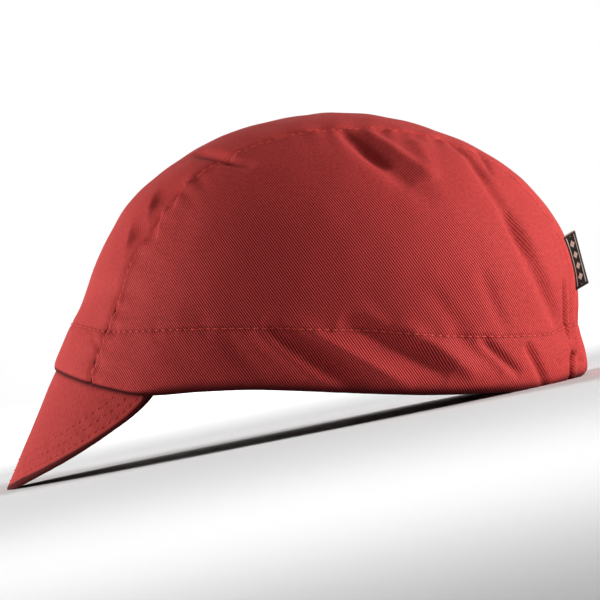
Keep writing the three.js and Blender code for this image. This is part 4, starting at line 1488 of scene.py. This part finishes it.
# %% Rows of stitches
STITCH_PITCH = 0.0031
STITCH_LENGTH = 0.0026
PEAK_STITCH_PITCH = 0.0034
PEAK_SUNK = 0.0001
THREAD = 0.00028
THREAD_LIFT = 0.00022
THREAD_SINK = 0.00022
BEAD_STEPS = 7
BEAD_SIDES = 7
BEAD_ENDS = 0.12


def contour(field, level, *grids):
    """The grids' values where a field first passes a level on each line of the grid."""
    past = (field[:, :-1] - level) * (field[:, 1:] - level) <= 0
    lines = np.flatnonzero(past.any(1))
    step = past[lines].argmax(1)
    here, there = field[lines, step], field[lines, step + 1]
    share = ((level - here) / np.where(there == here, 1, there - here))[:, None]
    return [grid[lines, step] * (1 - share) + grid[lines, step + 1] * share for grid in grids]


def stitches(path, normals, pitch, sunk=0.0):
    """Beads along a path: their points and faces, and a place along and around each thread."""
    length = arc_lengths(path)
    begin = np.arange(pitch / 2, length[-1] - pitch, pitch)
    along = np.linspace(0, 1, BEAD_STEPS)
    at = begin[:, None] + along * STITCH_LENGTH
    centre = np.stack([np.interp(at, length, path[:, axis]) for axis in range(3)], -1)
    normal = unit(np.stack([np.interp(at, length, normals[:, axis]) for axis in range(3)], -1))
    way = unit(centre[:, -1:] - centre[:, :1])
    aside = unit(np.cross(way, normal))
    arch = np.sin(math.pi * along)
    centre = centre + normal * (THREAD_LIFT * arch - THREAD_SINK * (1 - arch) - sunk)[:, None]
    thick = THREAD * np.sqrt(np.sin(math.pi * (BEAD_ENDS + (1 - 2 * BEAD_ENDS) * along)))
    around = 2 * math.pi * np.arange(BEAD_SIDES) / BEAD_SIDES
    ring = (aside[:, :, None] * np.cos(around)[:, None]
            + normal[:, :, None] * np.sin(around)[:, None])
    points = centre[:, :, None] + ring * thick[:, None, None]
    count = len(begin)
    bead = BEAD_STEPS * BEAD_SIDES
    grid = np.arange(bead).reshape(BEAD_STEPS, BEAD_SIDES)
    sides = quads(np.pad(grid, ((0, 0), (0, 1)), mode="wrap")).tolist()
    sides += [grid[0, ::-1].tolist(), grid[-1].tolist()]
    faces = [[corner + number * bead for corner in face] for number in range(count)
             for face in sides]
    spots = np.stack(np.broadcast_arrays(
        (along * STITCH_LENGTH)[None, :, None], around / (2 * math.pi),
        np.arange(count)[:, None, None]), -1)
    return points.reshape(-1, 3), faces, spots.reshape(-1, 3)


print("stitches in a decimetre of seam:", round(0.1 / STITCH_PITCH))

# %% [markdown]
# The thread is two plies of cotton wound round one another. Each point of a bead knows how far
# along and around the thread it is, so the winding is one slanting wave, and each stitch takes up
# the light a little differently, by its number in the row.

# %% Thread
THREAD_RED = (0.8, 0.11, 0.085, 1)
THREAD_DARK = (0.35, 0.025, 0.024, 1)
PLY_LENGTH = 0.0009
PLIES = 2
PLY_GROOVE = 0.6
PLY_LIGHT = 0.85
STITCH_LIGHT = 0.2
THREAD_BUMP = 0.6
THREAD_BUMP_HEIGHT = 0.0001
THREAD_ROUGH = 0.55
THREAD_ROUGH_SHADE = 0.15


def thread(name):
    """Two-ply cotton thread: the plies wind round it and leave a dark groove between them."""
    material, wires, shader = new_material(name, COTTON)
    place = attribute(wires, "thread_place")
    along = place.node("ShaderNodeSeparateXYZ", {}, {"Vector": place}, "X")
    around = along.beside("Y")
    number = along.beside("Z")
    ply = (along / PLY_LENGTH + around * PLIES).wave()
    shade = place.node("ShaderNodeTexWhiteNoise", {"noise_dimensions": "1D"}, {"W": number}, 0)
    # The groove between the plies is darkened with painted shade; each stitch's tone also differs at
    # random.
    lit = (ply.power(PLY_GROOVE) * PLY_LIGHT + shade * STITCH_LIGHT).held()
    bump = bumped(ply, THREAD_BUMP, THREAD_BUMP_HEIGHT)
    rough = THREAD_ROUGH + shade * THREAD_ROUGH_SHADE
    plug(wires, shader, Base_Color=lit.mixed(THREAD_DARK, THREAD_RED), Roughness=rough, Normal=bump)
    return material


thread_red = thread("red_thread")
print("thread, mm:", round(2 * THREAD * 1000, 2))

# %% [markdown]
# The rows are sewn in the order in which a machine would: both seams, then the row round the
# band, which crosses the side panels and the strip, and last the three rows of the peak.

# %% Sewing
def sew(name, rows):
    """One mesh of all the stitches of some rows."""
    points, faces, spots = [], [], []
    total = 0
    for row_points, row_faces, row_spots in rows:
        faces += [[corner + total for corner in face] for face in row_faces]
        points.append(row_points)
        spots.append(row_spots)
        total += len(row_points)
    mesh = bpy.data.meshes.new(name)
    mesh.from_pydata(settled(np.concatenate(points)), [], faces)
    set_marks(mesh, {"thread_place": np.concatenate(spots)})
    put_in_scene(name, mesh, thread_red)
    print(name, "faces:", len(faces))


band_rows = []
for side, word in ((LEFT, "left"), (RIGHT, "right")):
    outer, normal, distance, base = side_data[side]
    over = base[..., 2] - band_height(base[..., 1])
    path, normals = contour(-distance, -STITCH_PLACE, outer, normal)
    sew(f"{word}_seam_stitches", [stitches(path, normals, STITCH_PITCH)])
    band_rows.append(stitches(*contour(over, 0.0, outer, normal), STITCH_PITCH))
outer, normal, base = (np.swapaxes(grid, 0, 1) for grid in strip_data)
over = base[..., 2] - band_height(base[..., 1])
for order in (1, -1):
    ends = contour(over[:, ::order], 0.0, outer[:, ::order], normal[:, ::order])
    band_rows.append(stitches(*ends, STITCH_PITCH))
sew("band_stitches", band_rows)
upper, normal, edge = peak_data
sew("peak_stitches", [
    stitches(*contour(-edge, -place, upper, normal), PEAK_STITCH_PITCH, PEAK_SUNK)
    for place in PEAK_ROW_PLACES])

# %% [markdown]
# The cap stands on a pale sweep: a floor that curves up into a wall far behind, so that no
# horizon shows. A flat plane would end in a line behind the cap.

# %% Floor
FLOOR_REACH = 6.0
WALL_PLACE = -5.0
COVE = 1.5
COVE_STEPS = 24
WALL_HEIGHT = 5.0
PALE = (0.8, 0.8, 0.8, 1)
PAPER_ROUGH = 0.9

turns = np.linspace(0, math.pi / 2, COVE_STEPS)
floor_x = np.concatenate([[FLOOR_REACH], WALL_PLACE + COVE * (1 - np.sin(turns)), [WALL_PLACE]])
floor_z = np.concatenate([[0.0], COVE * (1 - np.cos(turns)), [WALL_HEIGHT]])
floor_lines = [[(x, y, z) for y in (-FLOOR_REACH, FLOOR_REACH)] for x, z in zip(floor_x, floor_z)]
sweep = bpy.data.meshes.new("floor")
sweep.from_pydata(np.array(floor_lines).reshape(-1, 3), [],
                  quads(np.arange(2 * len(floor_x)).reshape(-1, 2)))
sweep.shade_smooth()
sweep.materials.append(
    new_material("pale_floor", {"Base Color": PALE, "Roughness": PAPER_ROUGH})[0])
floor = bpy.data.objects.new("floor", sweep)
bpy.context.scene.collection.objects.link(floor)
print("floor faces:", len(sweep.polygons))

# %% [markdown]
# Two large soft lights stand low, one before the peak and one behind the back. They rake along
# the side panel, which brings out its folds, and leave its middle darker than its ends. A weak
# light high on the camera's side opens the shadows. A strong lamp beyond the cap shines on the
# wall, as a photographer's does to make a white ground, and a small one with a narrow beam
# lightens the floor before the cap. One strong light alone would be simpler, but it would leave
# the far half of the cap in the dark.

# %% Lights
# Each row: name, place, target, size of the lamp, power in watts and spread of its beam
WIDE_BEAM = math.pi
FLOOR_BEAM = math.radians(50)
CAP_MIDDLE = (0.0, 0.0, CROWN_HEIGHT / 2)
WALL_MIDDLE = (WALL_PLACE, 0.0, 0.6)
FLOOR_PLACE = (0.9, 0.0, 0.0)
LIGHTS = [
    ("front_light", (-0.34, -1.43, 0.5), CAP_MIDDLE, 0.6, 31, WIDE_BEAM),
    ("rear_light", (0.2, 1.46, 0.38), CAP_MIDDLE, 0.6, 33, WIDE_BEAM),
    ("high_light", (1.2, 0.0, 1.4), CAP_MIDDLE, 0.6, 3, WIDE_BEAM),
    ("wall_light", (-1.2, 0.0, 2.2), WALL_MIDDLE, 2.0, 165, WIDE_BEAM),
    ("floor_light", (0.9, 0.0, 1.3), FLOOR_PLACE, 0.4, 0.9, FLOOR_BEAM),
]
STUDIO = (0.95, 0.97, 1, 1)
STUDIO_STRENGTH = 0.03

for name, place, target, size, power, beam in LIGHTS:
    lamp = bpy.data.objects.new(name, bpy.data.lights.new(name, "AREA"))
    lamp.data.size = size
    lamp.data.energy = power
    lamp.data.spread = beam
    lamp.location = place
    toward = Vector(target) - lamp.location
    lamp.rotation_euler = toward.to_track_quat("-Z", "Y").to_euler()
    lamp.visible_camera = False
    bpy.context.scene.collection.objects.link(lamp)
studio = bpy.data.worlds.new("studio")
studio.use_nodes = True
backdrop = studio.node_tree.nodes["Background"]
backdrop.inputs["Color"].default_value = STUDIO
backdrop.inputs["Strength"].default_value = STUDIO_STRENGTH
bpy.context.scene.world = studio
bpy.context.scene.view_settings.view_transform = "Standard"
print("lights:", len(LIGHTS))
